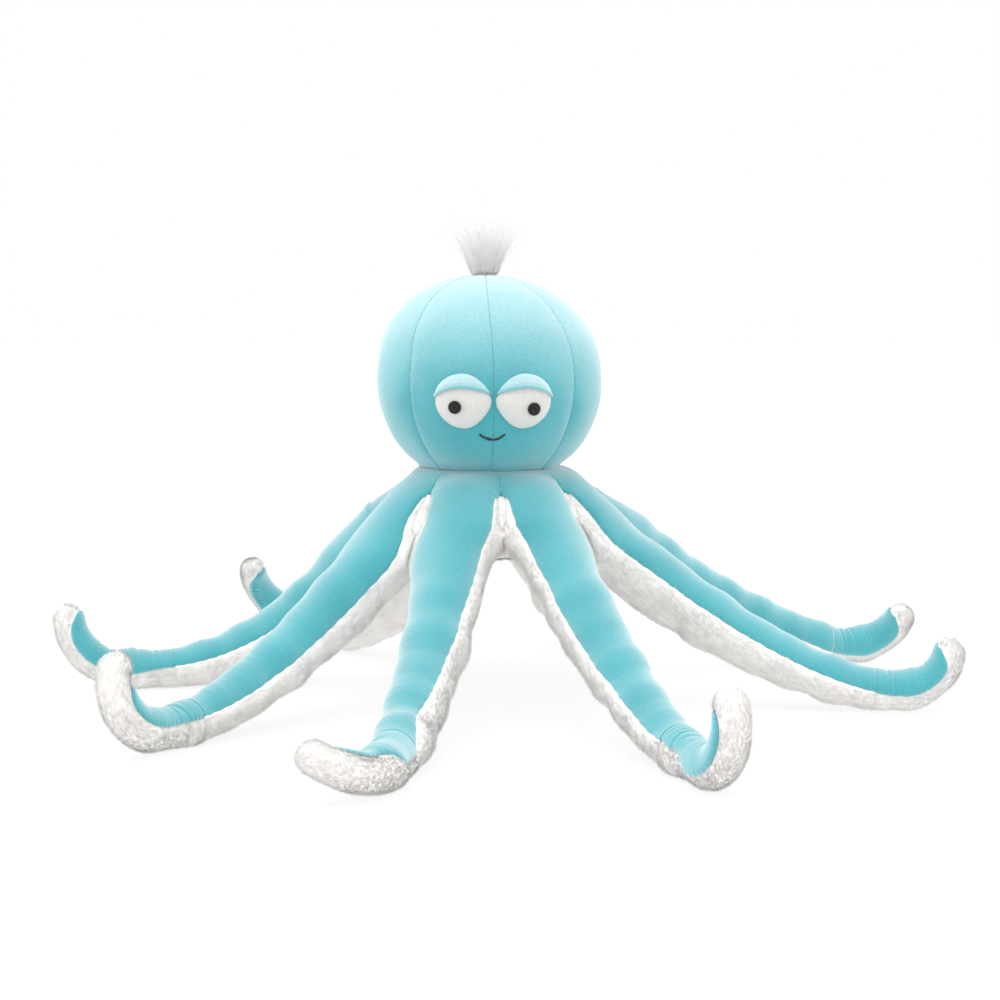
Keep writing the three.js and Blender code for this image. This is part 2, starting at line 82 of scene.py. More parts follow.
def spline(knots, values, at):
    # A smooth curve through values at knots, read off at the given places.
    knots, values, at = (np.asarray(value, float) for value in (knots, values, at))
    slopes = np.gradient(values, knots, axis=0)
    flat = np.clip(at.ravel(), knots[0], knots[-1])
    i = np.clip(np.searchsorted(knots, flat, side="right") - 1, 0, len(knots) - 2)
    gap = knots[i + 1] - knots[i]
    extra = (1,) * (values.ndim - 1)
    t = ((flat - knots[i]) / gap).reshape(-1, *extra)
    gap = gap.reshape(-1, *extra)
    curve = (2 * t**3 - 3 * t**2 + 1) * values[i] + (t**3 - 2 * t**2 + t) * gap * slopes[i]
    curve += (3 * t**2 - 2 * t**3) * values[i + 1] + (t**3 - t**2) * gap * slopes[i + 1]
    return curve.reshape(*at.shape, *values.shape[1:])


def wobble(points, size, seed):
    # A soft unevenness between about -1 and 1 over the points, with waves of about that size.
    waves = np.random.default_rng(seed)
    total = np.zeros(points.shape[:-1])
    for _ in range(7):
        direction = unit(waves.normal(size=3)) * 2 * math.pi / (size * waves.uniform(0.7, 1.5))
        total += np.sin(points @ direction + waves.uniform(0, 6.3))
    return total / 3.2


# Meshes from grids of points

def gridNormals(grid, around=False):
    # Unit normals of a grid of points. around says that its columns close on themselves.
    wide = np.concatenate([grid[:, -1:], grid, grid[:, :1]], 1) if around else grid
    normals = unit(np.cross(np.gradient(wide, axis=0), np.gradient(wide, axis=1)))
    return normals[:, 1:-1] if around else normals


def gridFaces(rows, columns, around=False, start=0):
    i = np.arange(rows - 1)[:, None]
    j = np.arange(columns if around else columns - 1)[None, :]
    k = (j + 1) % columns
    corners = [i * columns + j, (i + 1) * columns + j, (i + 1) * columns + k, i * columns + k]
    faces = np.stack([np.broadcast_to(c, (rows - 1, j.size)) for c in corners], -1)
    return (faces.reshape(-1, 4) + start).tolist()


def shell(grid, thickness=0.0, lining=None):
    # Points and faces of a cloth panel: the grid, its lining a thickness below, and the cut edges.
    rows, columns = grid.shape[:2]
    if lining is None:
        lining = grid - gridNormals(grid) * thickness
    count = rows * columns
    points = np.concatenate([grid.reshape(-1, 3), lining.reshape(-1, 3)])
    faces = gridFaces(rows, columns)
    faces += [face[::-1] for face in gridFaces(rows, columns, start=count)]
    border = list(range(columns))
    border += [i * columns + columns - 1 for i in range(1, rows)]
    border += [(rows - 1) * columns + j for j in range(columns - 2, -1, -1)]
    border += [i * columns for i in range(rows - 2, 0, -1)]
    faces += [[here, there, there + count, here + count] for here, there in zip(border, border[1:] + border[:1])]
    return points, faces


def closedTube(grid):
    # Points and faces of a tube whose two ends are fans.
    rows, columns = grid.shape[:2]
    points = np.concatenate([grid.reshape(-1, 3), grid[:1].mean(1), grid[-1:].mean(1)])
    faces = gridFaces(rows, columns, around=True)
    first, last = rows * columns, rows * columns + 1
    for j in range(columns):
        k = (j + 1) % columns
        faces += [[j, k, first], [(rows - 1) * columns + k, (rows - 1) * columns + j, last]]
    return points, faces


def roundAxis(radius, angle, height):
    # Points round the upright axis. Angle 0 is at the front.
    radius, angle, height = np.broadcast_arrays(radius, angle, height)
    return np.stack([radius * np.sin(angle), -radius * np.cos(angle), height], -1)


def ringNormals(grid):
    # Normals of a grid whose last column repeats the first.
    normals = gridNormals(grid[:, :-1], around=True)
    return np.concatenate([normals, normals[:, :1]], 1)


def pointsAt(places, knots, path):
    # Points read off a path at places between its knots.
    return np.stack([np.interp(places, knots, path[:, k]) for k in range(3)], 1)


def joined(parts):
    points, faces, total = [], [], 0
    for part in parts:
        points.append(part[0])
        faces += [[v + total for v in face] for face in part[1]] if total else part[1]
        total += len(part[0])
    return np.concatenate(points), faces


def addObject(name, data):
    thing = bpy.data.objects.new(name, data)
    bpy.context.scene.collection.objects.link(thing)
    return thing


def makePiece(name, parts, material):
    # A smooth-shaded mesh from parts of points, faces and, on fur, the normals that it is shaded with.
    points, faces = joined(parts)
    mesh = bpy.data.meshes.new(name)
    mesh.from_pydata(points + bodyMiddle, [], faces)
    mesh.shade_smooth()
    if len(parts[-1]) > 2:
        plain = np.zeros((len(mesh.vertices), 3), np.float32)
        mesh.vertices.foreach_get("normal", plain.ravel())
        plain[-len(parts[-1][2]):] = parts[-1][2]
        mesh.normals_split_custom_set_from_vertices(plain)
    mesh.materials.append(material)
    mesh.update()
    piece = addObject(name, mesh)
    return piece


# Pile, stitches and hair

pileLooks = {
    "density": 2.6e6,  # strands on a square metre
    "quickShare": 0.45,
    "length": 4.0 * mm,
    "width": 0.36 * mm,
    "rise": 0.8,  # how steeply a strand leaves the backing, beside its lean
    "forward": 0.9,  # how strongly it is combed along the rows
    "swirl": 0.3,
    "longSwirl": 28 * mm,
    "shortSwirl": 15 * mm,
    "mess": 0.28,
    "clumpShare": 0.08,  # one strand in twelve leads a wisp
    "clumpPull": 0.18,
    "rooted": 0.5 * mm,
    "softShading": 0.96,  # how far a strand is shaded like the cloth that it grows from
}


def scatter(grid, weights, density):
    # Random places on a grid, as many as its weighted area asks for, as cells and shares across them.
    across = grid[:-1, 1:] - grid[:-1, :-1]
    along = grid[1:, :-1] - grid[:-1, :-1]
    area = np.linalg.norm(np.cross(along, across), axis=-1) * weights
    count = int(area.sum() * density)
    cells = chance.choice(area.size, count, p=(area / area.sum()).ravel())
    i, j = np.unravel_index(cells, area.shape)
    return i, j, *chance.random((2, count, 1)), unit(along[i, j]), unit(across[i, j])


def strandMesh(roots, tips, widths):
    # Closed three-sided strands.
    count = len(roots)
    forward = unit(tips - roots)
    aside = unit(np.cross(forward, chance.normal(size=(count, 3))))
    other = np.cross(forward, aside)
    points = np.empty((count, 4, 3))
    for k in range(3):
        turn = 2 * math.pi * k / 3
        points[:, k] = roots + (aside * math.cos(turn) + other * math.sin(turn)) * widths * 0.5
    points[:, 3] = tips
    pattern = np.array([[2, 1, 0], [0, 1, 3], [1, 2, 3], [2, 0, 3]])
    faces = (np.arange(count)[:, None, None] * 4 + pattern).reshape(-1, 3)
    return points.reshape(-1, 3), faces.tolist()


def pileOn(grid, normals, weights, lengths=1.0, parting=0.0):
    # Fur on a grid, combed along its rows and, by the parting's sign, across them, in small wisps.
    looks = pileLooks
    density = looks["density"] * 1
    i, j, a, b, along, across = scatter(grid, weights, density)

    def at(values):
        values = np.broadcast_to(values, (*grid.shape[:2], np.shape(values)[-1]))
        low = mix(values[i, j], values[i, j + 1], b)
        return mix(low, mix(values[i + 1, j], values[i + 1, j + 1], b), a)

    places, outward, count = at(grid), unit(at(normals)), len(i)
    flow = along * (looks["forward"] + looks["swirl"] * wobble(places, looks["longSwirl"], 5)[:, None])
    flow += across * (looks["swirl"] * wobble(places, looks["shortSwirl"], 6)[:, None])
    flow += across * at(np.broadcast_to(parting, grid.shape[:2])[..., None])
    flow += looks["mess"] * chance.normal(size=(count, 3))
    size = looks["length"] * at(np.broadcast_to(lengths, grid.shape[:2])[..., None])
    size = size * chance.uniform(0.75, 1.15, (count, 1))
    roots = places - outward * looks["rooted"]
    tips = roots + unit(outward * looks["rise"] + flow) * size
    leaders = chance.choice(count, max(1, int(count * looks["clumpShare"])), replace=False)
    tree = kdtree.KDTree(len(leaders))
    for n, leader in enumerate(leaders):
        tree.insert(places[leader], n)
    tree.balance()
    leader = leaders[[tree.find(place)[1] for place in places]]
    tips = mix(tips, tips[leader], looks["clumpPull"])
    widths = looks["width"] * chance.uniform(0.7, 1.2, (count, 1))
    points, faces = strandMesh(roots, tips, widths)
    own = unit(points.reshape(count, 4, 3) - mix(roots, tips, 0.5)[:, None])
    soft = unit(mix(own, outward[:, None], looks["softShading"]))
    return points, faces, soft.reshape(-1, 3)


def onFloor(parts, height=0.25 * mm):
    # Presses what would lie under the floor flat on it.
    return [(np.concatenate([p[:, :2], np.maximum(p[:, 2:], height)], 1), *rest) for p, *rest in parts]


def stitchMesh(starts, ends, width):
    # Small thread bars with pointed ends, one for each pair of points.
    count = len(starts)
    direction = unit(ends - starts)
    aside = unit(np.cross(direction, chance.normal(size=(count, 3))))
    other = np.cross(direction, aside)
    middle = (starts + ends) / 2
    corners = [starts, middle + aside * width / 2, middle + other * width / 2,
               middle - aside * width / 2, middle - other * width / 2, ends]
    pattern = [face for k in range(4) for face in
               ([0, 1 + (k + 1) % 4, 1 + k], [5, 1 + k, 1 + (k + 1) % 4])]
    faces = (np.arange(count)[:, None, None] * 6 + np.array(pattern)).reshape(-1, 3)
    return np.stack(corners, 1).reshape(-1, 3), faces.tolist()


def stitchesAlong(path, pitch, length, width):
    # Stitches of one seam, at an even pitch along a path of points.
    steps = np.linalg.norm(np.diff(path, axis=0), axis=1)
    travelled = np.concatenate([[0], np.cumsum(steps)])
    starts = np.arange(pitch, travelled[-1] - length, pitch)
    return stitchMesh(pointsAt(starts, travelled, path), pointsAt(starts + length, travelled, path), width)


# Finishes. Each has fine grain, a soft change of colour and a bump.

def newFinish(name):
    # A new material, with its parts at hand.
    material = bpy.data.materials.new(name)
    material.use_nodes = True
    nodes, links = material.node_tree.nodes, material.node_tree.links
    return SimpleNamespace(material=material, nodes=nodes, links=links, shader=nodes["Principled BSDF"],
                           coords=nodes.new("ShaderNodeTexCoord").outputs["Object"])


def setInputs(node, values):
    for name, value in values.items():
        node.inputs[name].default_value = value


def noise(finish, scale, detail=3.0, roughness=0.55):
    node = finish.nodes.new("ShaderNodeTexNoise")
    setInputs(node, {"Scale": scale, "Detail": detail, "Roughness": roughness})
    finish.links.new(finish.coords, node.inputs["Vector"])
    return node.outputs["Fac"]


def ramp(finish, value, low, dark, high, light):
    # Colours from dark to light between two values.
    node = finish.nodes.new("ShaderNodeValToRGB")
    first, last = node.color_ramp.elements
    first.position, first.color = low, (*dark, 1)
    last.position, last.color = high, (*light, 1)
    finish.links.new(value, node.inputs["Fac"])
    return node.outputs["Color"]


def mixColour(finish, factor, first, second, blend="MIX"):
    node = finish.nodes.new("ShaderNodeMix")
    node.data_type, node.blend_type = "RGBA", blend
    if isinstance(factor, float):
        node.inputs["Factor"].default_value = factor
    else:
        finish.links.new(factor, node.inputs["Factor"])
    finish.links.new(first, node.inputs["A"])
    finish.links.new(second, node.inputs["B"])
    return node.outputs["Result"]


def dress(finish, colour, height, distance, strength, values):
    # The colour, the bump and the plain values of a finish.
    bump = finish.nodes.new("ShaderNodeBump")
    setInputs(bump, {"Distance": distance, "Strength": strength})
    finish.links.new(height, bump.inputs["Height"])
    finish.links.new(bump.outputs["Normal"], finish.shader.inputs["Normal"])
    finish.links.new(colour, finish.shader.inputs["Base Color"])
    setInputs(finish.shader, values)
    return finish.material


velourLooks = {
    "deep": (0.018, 0.335, 0.38),
    "light": (0.036, 0.39, 0.44),
    "patchScale": 22,
    "grainScale": 1050,
    "grainDark": (0.66, 0.77, 0.80),
    "grainLight": (1.0, 1.0, 1.0),
    "grainDepth": 0.35 * mm,
    "sheen": 0.95,
    "sheenTint": (1.0, 1.0, 1.0, 1.0),
    "sheenRoughness": 0.6,
    "roughness": 0.8,
    "gloss": 0.3,
    "bloom": (0.78, 0.97, 0.99, 1.0),  # painted highlight: the head's colour turns paler towards its top, standing in for the light from above
    "bloomFrom": 216 * mm,
    "bloomTo": 312 * mm,
    "bloomShare": 0.42,
    "bloomSheen": (0.9, -0.03),  # share of the sheen there, and what its roughness gains
}


def heightShare(finish, low, high, share):
    # A factor that grows from nothing to the share between two heights.
    parts = finish.nodes.new("ShaderNodeSeparateXYZ")
    finish.links.new(finish.coords, parts.inputs["Vector"])
    span = finish.nodes.new("ShaderNodeMapRange")
    span.interpolation_type = "SMOOTHSTEP"
    setInputs(span, {"From Min": low, "From Max": high, "To Max": share})
    finish.links.new(parts.outputs["Z"], span.inputs["Value"])
    return span.outputs["Result"]


def velourMaterial(name, looks, paler=0.0, bloom=False):
    # Short upright nap: speckled grain, slow patches where the nap lies another way, and a pale sheen.
    finish = newFinish(name)
    deep, light = (tuple(mix(c, 1.0, paler) for c in looks[key]) for key in ("deep", "light"))
    colour = ramp(finish, noise(finish, looks["patchScale"], 2), 0.3, deep, 0.72, light)
    sheenShare, sheenGain = looks["bloomSheen"] if bloom else (1, 0)
    # On the head, painted light: the colour is mixed with a pale tint from one height up to another, as the light
    # from above would pale it
    if bloom:
        amount = heightShare(finish, looks["bloomFrom"], looks["bloomTo"], looks["bloomShare"])
        pale = finish.nodes.new("ShaderNodeRGB").outputs[0]
        pale.default_value = looks["bloom"]
        colour = mixColour(finish, amount, colour, pale)
    grain = noise(finish, looks["grainScale"], 2, 0.7)
    speckle = ramp(finish, grain, 0.32, looks["grainDark"], 0.62, looks["grainLight"])
    colour = mixColour(finish, 1.0, colour, speckle, "MULTIPLY")
    return dress(finish, colour, grain, looks["grainDepth"], 0.55, {
        "Roughness": looks["roughness"],
        "Specular IOR Level": looks["gloss"],
        "Sheen Weight": looks["sheen"] * sheenShare,
        "Sheen Roughness": looks["sheenRoughness"] + sheenGain,
        "Sheen Tint": looks["sheenTint"],
    })


furLooks = {"shade": (0.93, 0.905, 0.87), "bright": (0.98, 0.96, 0.935), "sheen": 0.2, "bumpDepth": 0.5 * mm}


def furMaterial(name, looks):
    # Warm white fibre, a little darker in patches.
    finish = newFinish(name)
    colour = ramp(finish, noise(finish, 90, 3), 0.3, looks["shade"], 0.65, looks["bright"])
    return dress(finish, colour, noise(finish, 900, 3, 0.7), looks["bumpDepth"], 0.15, {
        "Roughness": 0.85, "Specular IOR Level": 0.25, "Sheen Weight": looks["sheen"], "Sheen Roughness": 0.5})


feltLooks = {"shade": (0.57, 0.565, 0.54), "bright": (0.65, 0.645, 0.62), "bumpDepth": 0.3 * mm}


def feltMaterial(name, looks):
    # Matted fibres, so a fine uneven bump with no direction.
    finish = newFinish(name)
    fibres = noise(finish, 700, 5, 0.75)
    colour = ramp(finish, fibres, 0.3, looks["shade"], 0.62, looks["bright"])
    return dress(finish, colour, fibres, looks["bumpDepth"], 0.5, {"Roughness": 0.95, "Sheen Weight": 0.2})


def threadMaterial(name, dark, light, roughness):
    finish = newFinish(name)
    fibres = noise(finish, 1800, 2)
    colour = ramp(finish, fibres, 0.35, dark, 0.65, light)
    return dress(finish, colour, fibres, 0.1 * mm, 0.5, {"Roughness": roughness})


def plasticMaterial(name, dark, light):
    # Polished plastic, with the faint waviness of a moulding.
    finish = newFinish(name)
    waves = noise(finish, 260, 2)
    colour = ramp(finish, waves, 0.3, dark, 0.7, light)
    return dress(finish, colour, waves, 0.05 * mm, 0.15, {"Roughness": 0.12, "Specular IOR Level": 0.3})


velour = velourMaterial("aquaVelour", velourLooks)
# The head's velour carries painted light, paler towards the top
headVelourPaintedLight = velourMaterial("aquaHeadVelour", velourLooks, bloom=True)
lidVelour = velourMaterial("paleLidVelour", velourLooks, paler=0.36)
hemVelour = velourMaterial("lidHemVelour", velourLooks, paler=0.12)
fur = furMaterial("whiteFur", furLooks)
felt = feltMaterial("whiteFelt", feltLooks)
seamThread = threadMaterial("aquaSeamThread", (0.045, 0.27, 0.31), (0.08, 0.36, 0.40), 0.8)
mouthThread = threadMaterial("blackMouthThread", (0.004, 0.005, 0.006), (0.02, 0.022, 0.024), 0.6)
hairFibre = threadMaterial("whiteHair", (0.95, 0.95, 0.95), (0.98, 0.98, 0.98), 0.6)
blackPlastic = plasticMaterial("blackEyePlastic", (0.006, 0.005, 0.005), (0.016, 0.013, 0.011))
print("finishes ready")


# Studio: camera, floor and lights

studio = {
    "cameraPlace": (0.0, -1.25, 0.272),  # from the middle of the body
    "cameraDip": math.radians(5.75),
    "lens": 60.5,
    "shift": 0.011,
    "floorSide": 60.0,
    "floorGlow": 0.78,  # a backlit sweep, so that the shadows stay faint
    "floorBounce": 1.03,  # how strongly it lights the toy from below
    "floorTone": 0.19,
    "backdrop": 1.0,
    "skyLight": 1.0,
    "keyPower": 1.5,
    "keySpread": math.radians(60),
    "keyTilt": (math.radians(12), math.radians(-8), 0),
    "sidePower": 0.6,
    "sideSpread": math.radians(75),
    "sideTilt": math.radians(68),
}


def byCamera(tree, seen, lighting):
    # One strength for what the camera sees and another for the light on the toy.
    strength = tree.nodes.new("ShaderNodeMix")
    setInputs(strength, {"A": lighting, "B": seen})
    tree.links.new(tree.nodes.new("ShaderNodeLightPath").outputs["Is Camera Ray"], strength.inputs["Factor"])
    return strength.outputs["Result"]


def addLamp(name, power, spread, tilt):
    light = bpy.data.lights.new(name, "SUN")
    light.energy, light.angle = power, spread
    addObject(name, light).rotation_euler = tilt


def makeStudio(looks):
    camera = bpy.data.cameras.new("camera")
    camera.lens, camera.shift_x, camera.sensor_width = looks["lens"], looks["shift"], 36.0
    eye = addObject("camera", camera)
    eye.location = Vector(looks["cameraPlace"]) + Vector(bodyMiddle)
    eye.rotation_euler = (math.pi / 2 - looks["cameraDip"], 0, 0)
    bpy.context.scene.camera = eye

    side = looks["floorSide"] / 2
    floorMesh = bpy.data.meshes.new("floor")
    corners = [(-side, -side, 0), (side, -side, 0), (side, side, 0), (-side, side, 0)]
    floorMesh.from_pydata(corners, [], [(0, 1, 2, 3)])
    floor = addObject("floor", floorMesh)
    finish = newFinish("paleFloor")
    glow = byCamera(finish, looks["floorGlow"], looks["floorBounce"])
    finish.links.new(glow, finish.shader.inputs["Emission Strength"])
    setInputs(finish.shader, {"Base Color": (looks["floorTone"],) * 3 + (1,), "Emission Color": (1, 1, 1, 1),
                              "Roughness": 0.9, "Specular IOR Level": 0.1})
    floorMesh.materials.append(finish.material)

    addLamp("key", looks["keyPower"], looks["keySpread"], looks["keyTilt"])
    for name, tilt in (("leftSide", -looks["sideTilt"]), ("rightSide", looks["sideTilt"])):
        addLamp(name, looks["sidePower"], looks["sideSpread"], (0, tilt, 0))

    world = bpy.data.worlds.new("studio")
    world.use_nodes = True
    background = world.node_tree.nodes["Background"]
    background.inputs["Color"].default_value = (1, 1, 1, 1)
    glow = byCamera(world.node_tree, looks["backdrop"], looks["skyLight"])
    world.node_tree.links.new(glow, background.inputs["Strength"])
    bpy.context.scene.world = world
    bpy.context.scene.view_settings.view_transform = "Standard"


makeStudio(studio)
print("studio ready")


# The head: eight gores round one form. A face direction is an angle round the head, 0 at the front.

head = {
    "radius": 83.8 * mm,
    "height": 140 * mm,
    "topLean": -3.3 * mm,  # the crown stands a little to one side
    "turn": math.radians(2.3),
    "gores": ["gore_front_right", "gore_right_front", "gore_right_back", "gore_back_right",
              "gore_back_left", "gore_left_back", "gore_left_front", "gore_front_left"],
    # shares of the radius and of the height, from the neck to the crown
    "profile": [(0.627, 0), (0.771, 0.077), (0.904, 0.196), (0.988, 0.343), (1, 0.49), (0.95, 0.65),
                (0.785, 0.811), (0.64, 0.89), (0.46, 0.947), (0.22, 0.988), (0.05, 1.0)],
    "seamDraw": 0.018,  # how far the seams pull in, as a share of the radius
    "seamDepth": 0.38 * mm,
    "seamWidth": 1.2 * mm,
    "closing": 0.2,  # the front seam is drawn shut by hand up to this share of the way
    "puckers": 46,
    "puckerDepth": (0.14 * mm, 0.5 * mm),  # by machine, and what sewing by hand adds
    "puckerWidth": (3.5 * mm, -1.2 * mm),
    "tuckDepth": 3.6 * mm,  # the cloth dips into the neck seam
    "tuckLength": 1.5 * mm,
    "tuckShare": 0.06,
    "swell": 0.55 * mm,  # unevenness of the filling, that dies out towards the seams
    "swellSize": 46 * mm,
    "swellEdge": 9 * mm,
    "cloth": 1.3 * mm,
    "fillingInset": 2.9 * mm,
    "fillingSink": 1.6 * mm,
    "rows": 92,
    "bendFrom": 172 * mm,  # a height between the body and the head
    "bendTo": 201 * mm,
    "stitch": (2.7 * mm, 1.7 * mm, 0.55 * mm),  # pitch, length and width
}
profileShares = np.array(head["profile"])
profileTravel = np.concatenate([[0], np.cumsum(np.hypot(*np.diff(profileShares, axis=0).T))])


def headProfile(travel):
    # Radius and height of the head at shares of the way from the neck to the crown.
    shares = spline(profileTravel, profileShares, np.asarray(travel) * profileTravel[-1])
    return shares[..., 0] * head["radius"], neckHeight + shares[..., 1] * head["height"]


profileTable = np.linspace(0, 1, 400)
tableHeight = headProfile(profileTable)[1]


def crownShift(height):
    # The sideways lean of the upper part of the head.
    shift = head["topLean"] * ease((height - neckHeight) / head["height"] * 2.2 - 1.1)
    return shift[..., None] * np.array([1.0, 0, 0])


def goreSwell(angle):
    # How far the form swells between the seams: 1 in the middle of a gore.
    place = (angle - head["turn"]) / (math.pi / 4)
    wave = np.abs(np.sin(math.pi * place))
    return 1 - head["seamDraw"] * (1 - wave) ** 1.6


def headPoint(angle, height, lift=0.0):
    # A point on the head, or lifted off it, with its outward direction.
    travel = np.interp(height, tableHeight, profileTable)
    radius = headProfile(travel)[0] * goreSwell(angle)
    before, after = headProfile(np.clip(travel - 0.01, 0, 1)), headProfile(np.clip(travel + 0.01, 0, 1))
    rise, spread = after[1] - before[1], after[0] - before[0]
    level = np.stack([np.sin(angle), -np.cos(angle), np.zeros_like(angle)], -1)
    outward = unit(level * rise[..., None] - up * spread[..., None])
    place = level * radius[..., None] + up * np.asarray(height)[..., None]
    return place + outward * np.asarray(lift)[..., None], outward


goreColumns = np.array([0, 0.004, 0.010, 0.019, 0.033, 0.055, 0.09, 0.14, 0.2, 0.27, 0.345, 0.42, 0.5])
goreColumns = np.concatenate([goreColumns, 1 - goreColumns[-2::-1]])


def goreGrid(index):
    # One gore from the neck to the crown, with its edges turned in along the seams.
    travel = np.linspace(0, 1, head["rows"])
    radius, height = headProfile(travel)
    angle = head["turn"] + (index + 1 - goreColumns) * math.pi / 4
    grid = roundAxis(radius[:, None] * goreSwell(angle)[None, :], angle, height[:, None])
    grid = grid + crownShift(grid[..., 2])
    normals = gridNormals(grid)
    fromSeam = np.minimum(goreColumns, 1 - goreColumns)[None, :] * (math.pi / 4) * radius[:, None]
    depth = head["seamDepth"] * np.exp(-fromSeam / head["seamWidth"])
    front = np.where((goreColumns < 0.5) == (index == 7), 1.0, 0.0) * (index in (0, 7))
    byHand = front * (1 - ease((travel / head["closing"] - 0.85) / 0.3))[:, None]
    (plainDepth, handDepth), (plainWidth, handWidth) = head["puckerDepth"], head["puckerWidth"]
    puckers = (plainDepth + handDepth * byHand) * hump(fromSeam, plainWidth + handWidth * byHand)
    puckers = puckers * np.sin(travel * 2 * math.pi * head["puckers"] + index)[:, None]
    grid = grid - normals * (depth + puckers)[..., None]
    fromNeck = travel * profileTravel[-1] * head["radius"]
    tuck = np.exp(-fromNeck / head["tuckLength"])[:, None, None]
    grid = grid * (1 - head["tuckShare"] * tuck * [1, 1, 0]) - up * head["tuckDepth"] * tuck
    swell = head["swell"] * wobble(grid, head["swellSize"], 11 + index) * ease(fromSeam / head["swellEdge"])
    return grid + normals * swell[..., None]


def bendNeck(piece):
    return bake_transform(piece)


def makeHead():
    stitches = []
    for index, name in enumerate(head["gores"]):
        grid = goreGrid(index)
        piece = makePiece(name + "_cloth", [shell(grid, head["cloth"])], headVelourPaintedLight)
        bendNeck(piece)
        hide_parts(name)
        stitches.append(stitchesAlong((grid[4:-3, 1] + grid[4:-3, 0]) / 2, *head["stitch"]))
    piece = makePiece("head_seam_stitches", stitches, seamThread)
    bendNeck(piece)

    travel = np.linspace(0.0, 0.985, 60)[:, None]
    radius, height = headProfile(travel)
    angle = -np.linspace(0, 2 * math.pi, 96, endpoint=False)
    wide = (radius - head["fillingInset"]) * goreSwell(angle)
    form = roundAxis(wide, angle, height - head["fillingSink"] * travel)
    form = form + crownShift(form[..., 2])
    filling = makePiece("head_filling", [closedTube(form)], fur)
    bendNeck(filling)
    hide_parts("head_stuffing")


makeHead()
print("head ready")


# The face

eyes = {
    "outset": 22 * mm,  # round the head, from the middle of the face
    "height": 222.8 * mm,
    "halfWidth": 20.5 * mm,
    "halfHeight": 18.7 * mm,
    "pointShare": 0.27,  # how much lower a pad is at its pointed end
    "rise": 7.0 * mm,
    "edgeDepth": 0.8 * mm,
    "unevenness": 0.1 * mm,
    "unevenSize": 9 * mm,
    "pupilSink": 0.5 * mm,
    "pupilOutset": {"left": 3.7 * mm, "right": 4.5 * mm},
    "pupilDrop": {"left": 2.2 * mm, "right": 3.4 * mm},
    # radius and height in mm: a shallow dome with a dimple, its rim and its side
    "pupilProfile": [(0.5, 2.05), (0.9, 2.45), (1.6, 2.85), (2.5, 2.9), (3.05, 2.6), (3.25, 2.35),
                     (3.5, 2.45), (3.95, 2.7), (4.35, 2.4), (4.6, 1.8), (4.6, 0.6), (4.3, -1.0)],
}
lids = {
    "rise": 1.7 * mm,  # over the pad
    "growth": 1.055,
    "ends": (math.radians(12), math.radians(160)),
    "middle": 9.6 * mm,  # lower edge above the middle of its pad
    "outerDrop": 6.4 * mm,
    "innerDrop": 4.4 * mm,
    "cloth": 1.2 * mm,
    "deepest": -0.6 * mm,
    "edgeDip": (0.5 * mm, 0.3 * mm),  # depth and width
    "hem": 2.6 * mm,
    "hemRise": 0.75 * mm,
    "hemLift": 0.1 * mm,
    "hemCloth": 0.9 * mm,
    "hemGroove": (0.35 * mm, 0.6 * mm),
}


def onFace(side, x, y, lift):
    # Face places: x is outwards from the nose side of a pad's middle, y is up, both round the head.
    angle = head["turn"] + side * (eyes["outset"] + x) / head["radius"]
    return headPoint(angle, eyes["height"] + y, lift)


def padOutline(around, growth=1.0):
    # x and y of a pad's edge. It narrows to a point on the nose side, where x is negative.
    x = np.cos(around)
    inward = np.maximum(0, -x)
    y = np.sin(around) * (1 - eyes["pointShare"] * inward**2) * (1 - 0.10 * inward**4)
    return x * eyes["halfWidth"] * growth, y * eyes["halfHeight"] * growth


def padShare(x, y, growth=1.0):
    # How far out a place lies on a pad: 0 in its middle and 1 on its edge.
    around = np.arctan2(y / eyes["halfHeight"], x / eyes["halfWidth"])
    for _ in range(4):
        edgeX, edgeY = padOutline(around, growth)
        wrong = np.arctan2(y, x) - np.arctan2(edgeY, edgeX)
        around = around + (wrong + math.pi) % (2 * math.pi) - math.pi
    edgeX, edgeY = padOutline(around, growth)
    return np.hypot(x, y) / np.hypot(edgeX, edgeY)


def domeRise(share, rise):
    return rise * np.maximum(0, 1 - np.clip(share, 0, 1) ** 2.3) ** 0.62


def makePad(side, label):
    around = np.linspace(0, 2 * math.pi, 72, endpoint=False)
    shares = np.concatenate([np.linspace(0.03, 0.9, 20), [0.94, 0.965, 0.985, 1.0]])
    x, y = shares[:, None] * np.array(padOutline(around))[:, None]
    uneven = eyes["unevenness"] * wobble(np.stack([x, y, x * 0], -1), eyes["unevenSize"], 31)
    dome = onFace(side, x, y, domeRise(shares, eyes["rise"])[:, None] + uneven)[0]
    under = onFace(side, x[-1:] * 0.97, y[-1:] * 0.97, np.full(x[-1:].shape, -eyes["edgeDepth"]))[0]
    grid = np.concatenate([dome, under])[:, ::side]
    piece = makePiece(f"eye_pad_{label}_felt", [closedTube(grid)], felt)
    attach(piece, "head")
    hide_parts(f"eye_pad_{label}")


def lidPlaces(rows):
    # x, y and lift of a lid's cloth at shares of the way up from its lower edge, or else of its hem alone.
    share = np.linspace(0, 1, 49)
    outerX, outerY = padOutline(mix(*lids["ends"], share), lids["growth"])
    lowX = mix(outerX[0], outerX[-1], share)
    bow = lowX / eyes["halfWidth"]
    drop = np.where(bow > 0, lids["outerDrop"], lids["innerDrop"]) * np.abs(bow) ** 1.8
    lowY = np.minimum(lids["middle"] - drop, outerY)
    lowY[0], lowY[-1] = outerY[0], outerY[-1]
    reach = np.hypot(outerX - lowX, outerY - lowY)
    if rows is None:
        rows = np.linspace(0, 1, 7)[:, None] * np.minimum(1, lids["hem"] / np.maximum(reach, 0.1 * mm))
    x, y = mix(lowX, outerX, rows), mix(lowY, outerY, rows)
    fromEdge = rows * reach
    dipDepth, dipWidth = lids["edgeDip"]
    lift = domeRise(padShare(x, y, lids["growth"]), eyes["rise"] + lids["rise"]) - dipDepth * hump(fromEdge, dipWidth)
    return x, y, np.maximum(lift, lids["deepest"] / 2), fromEdge


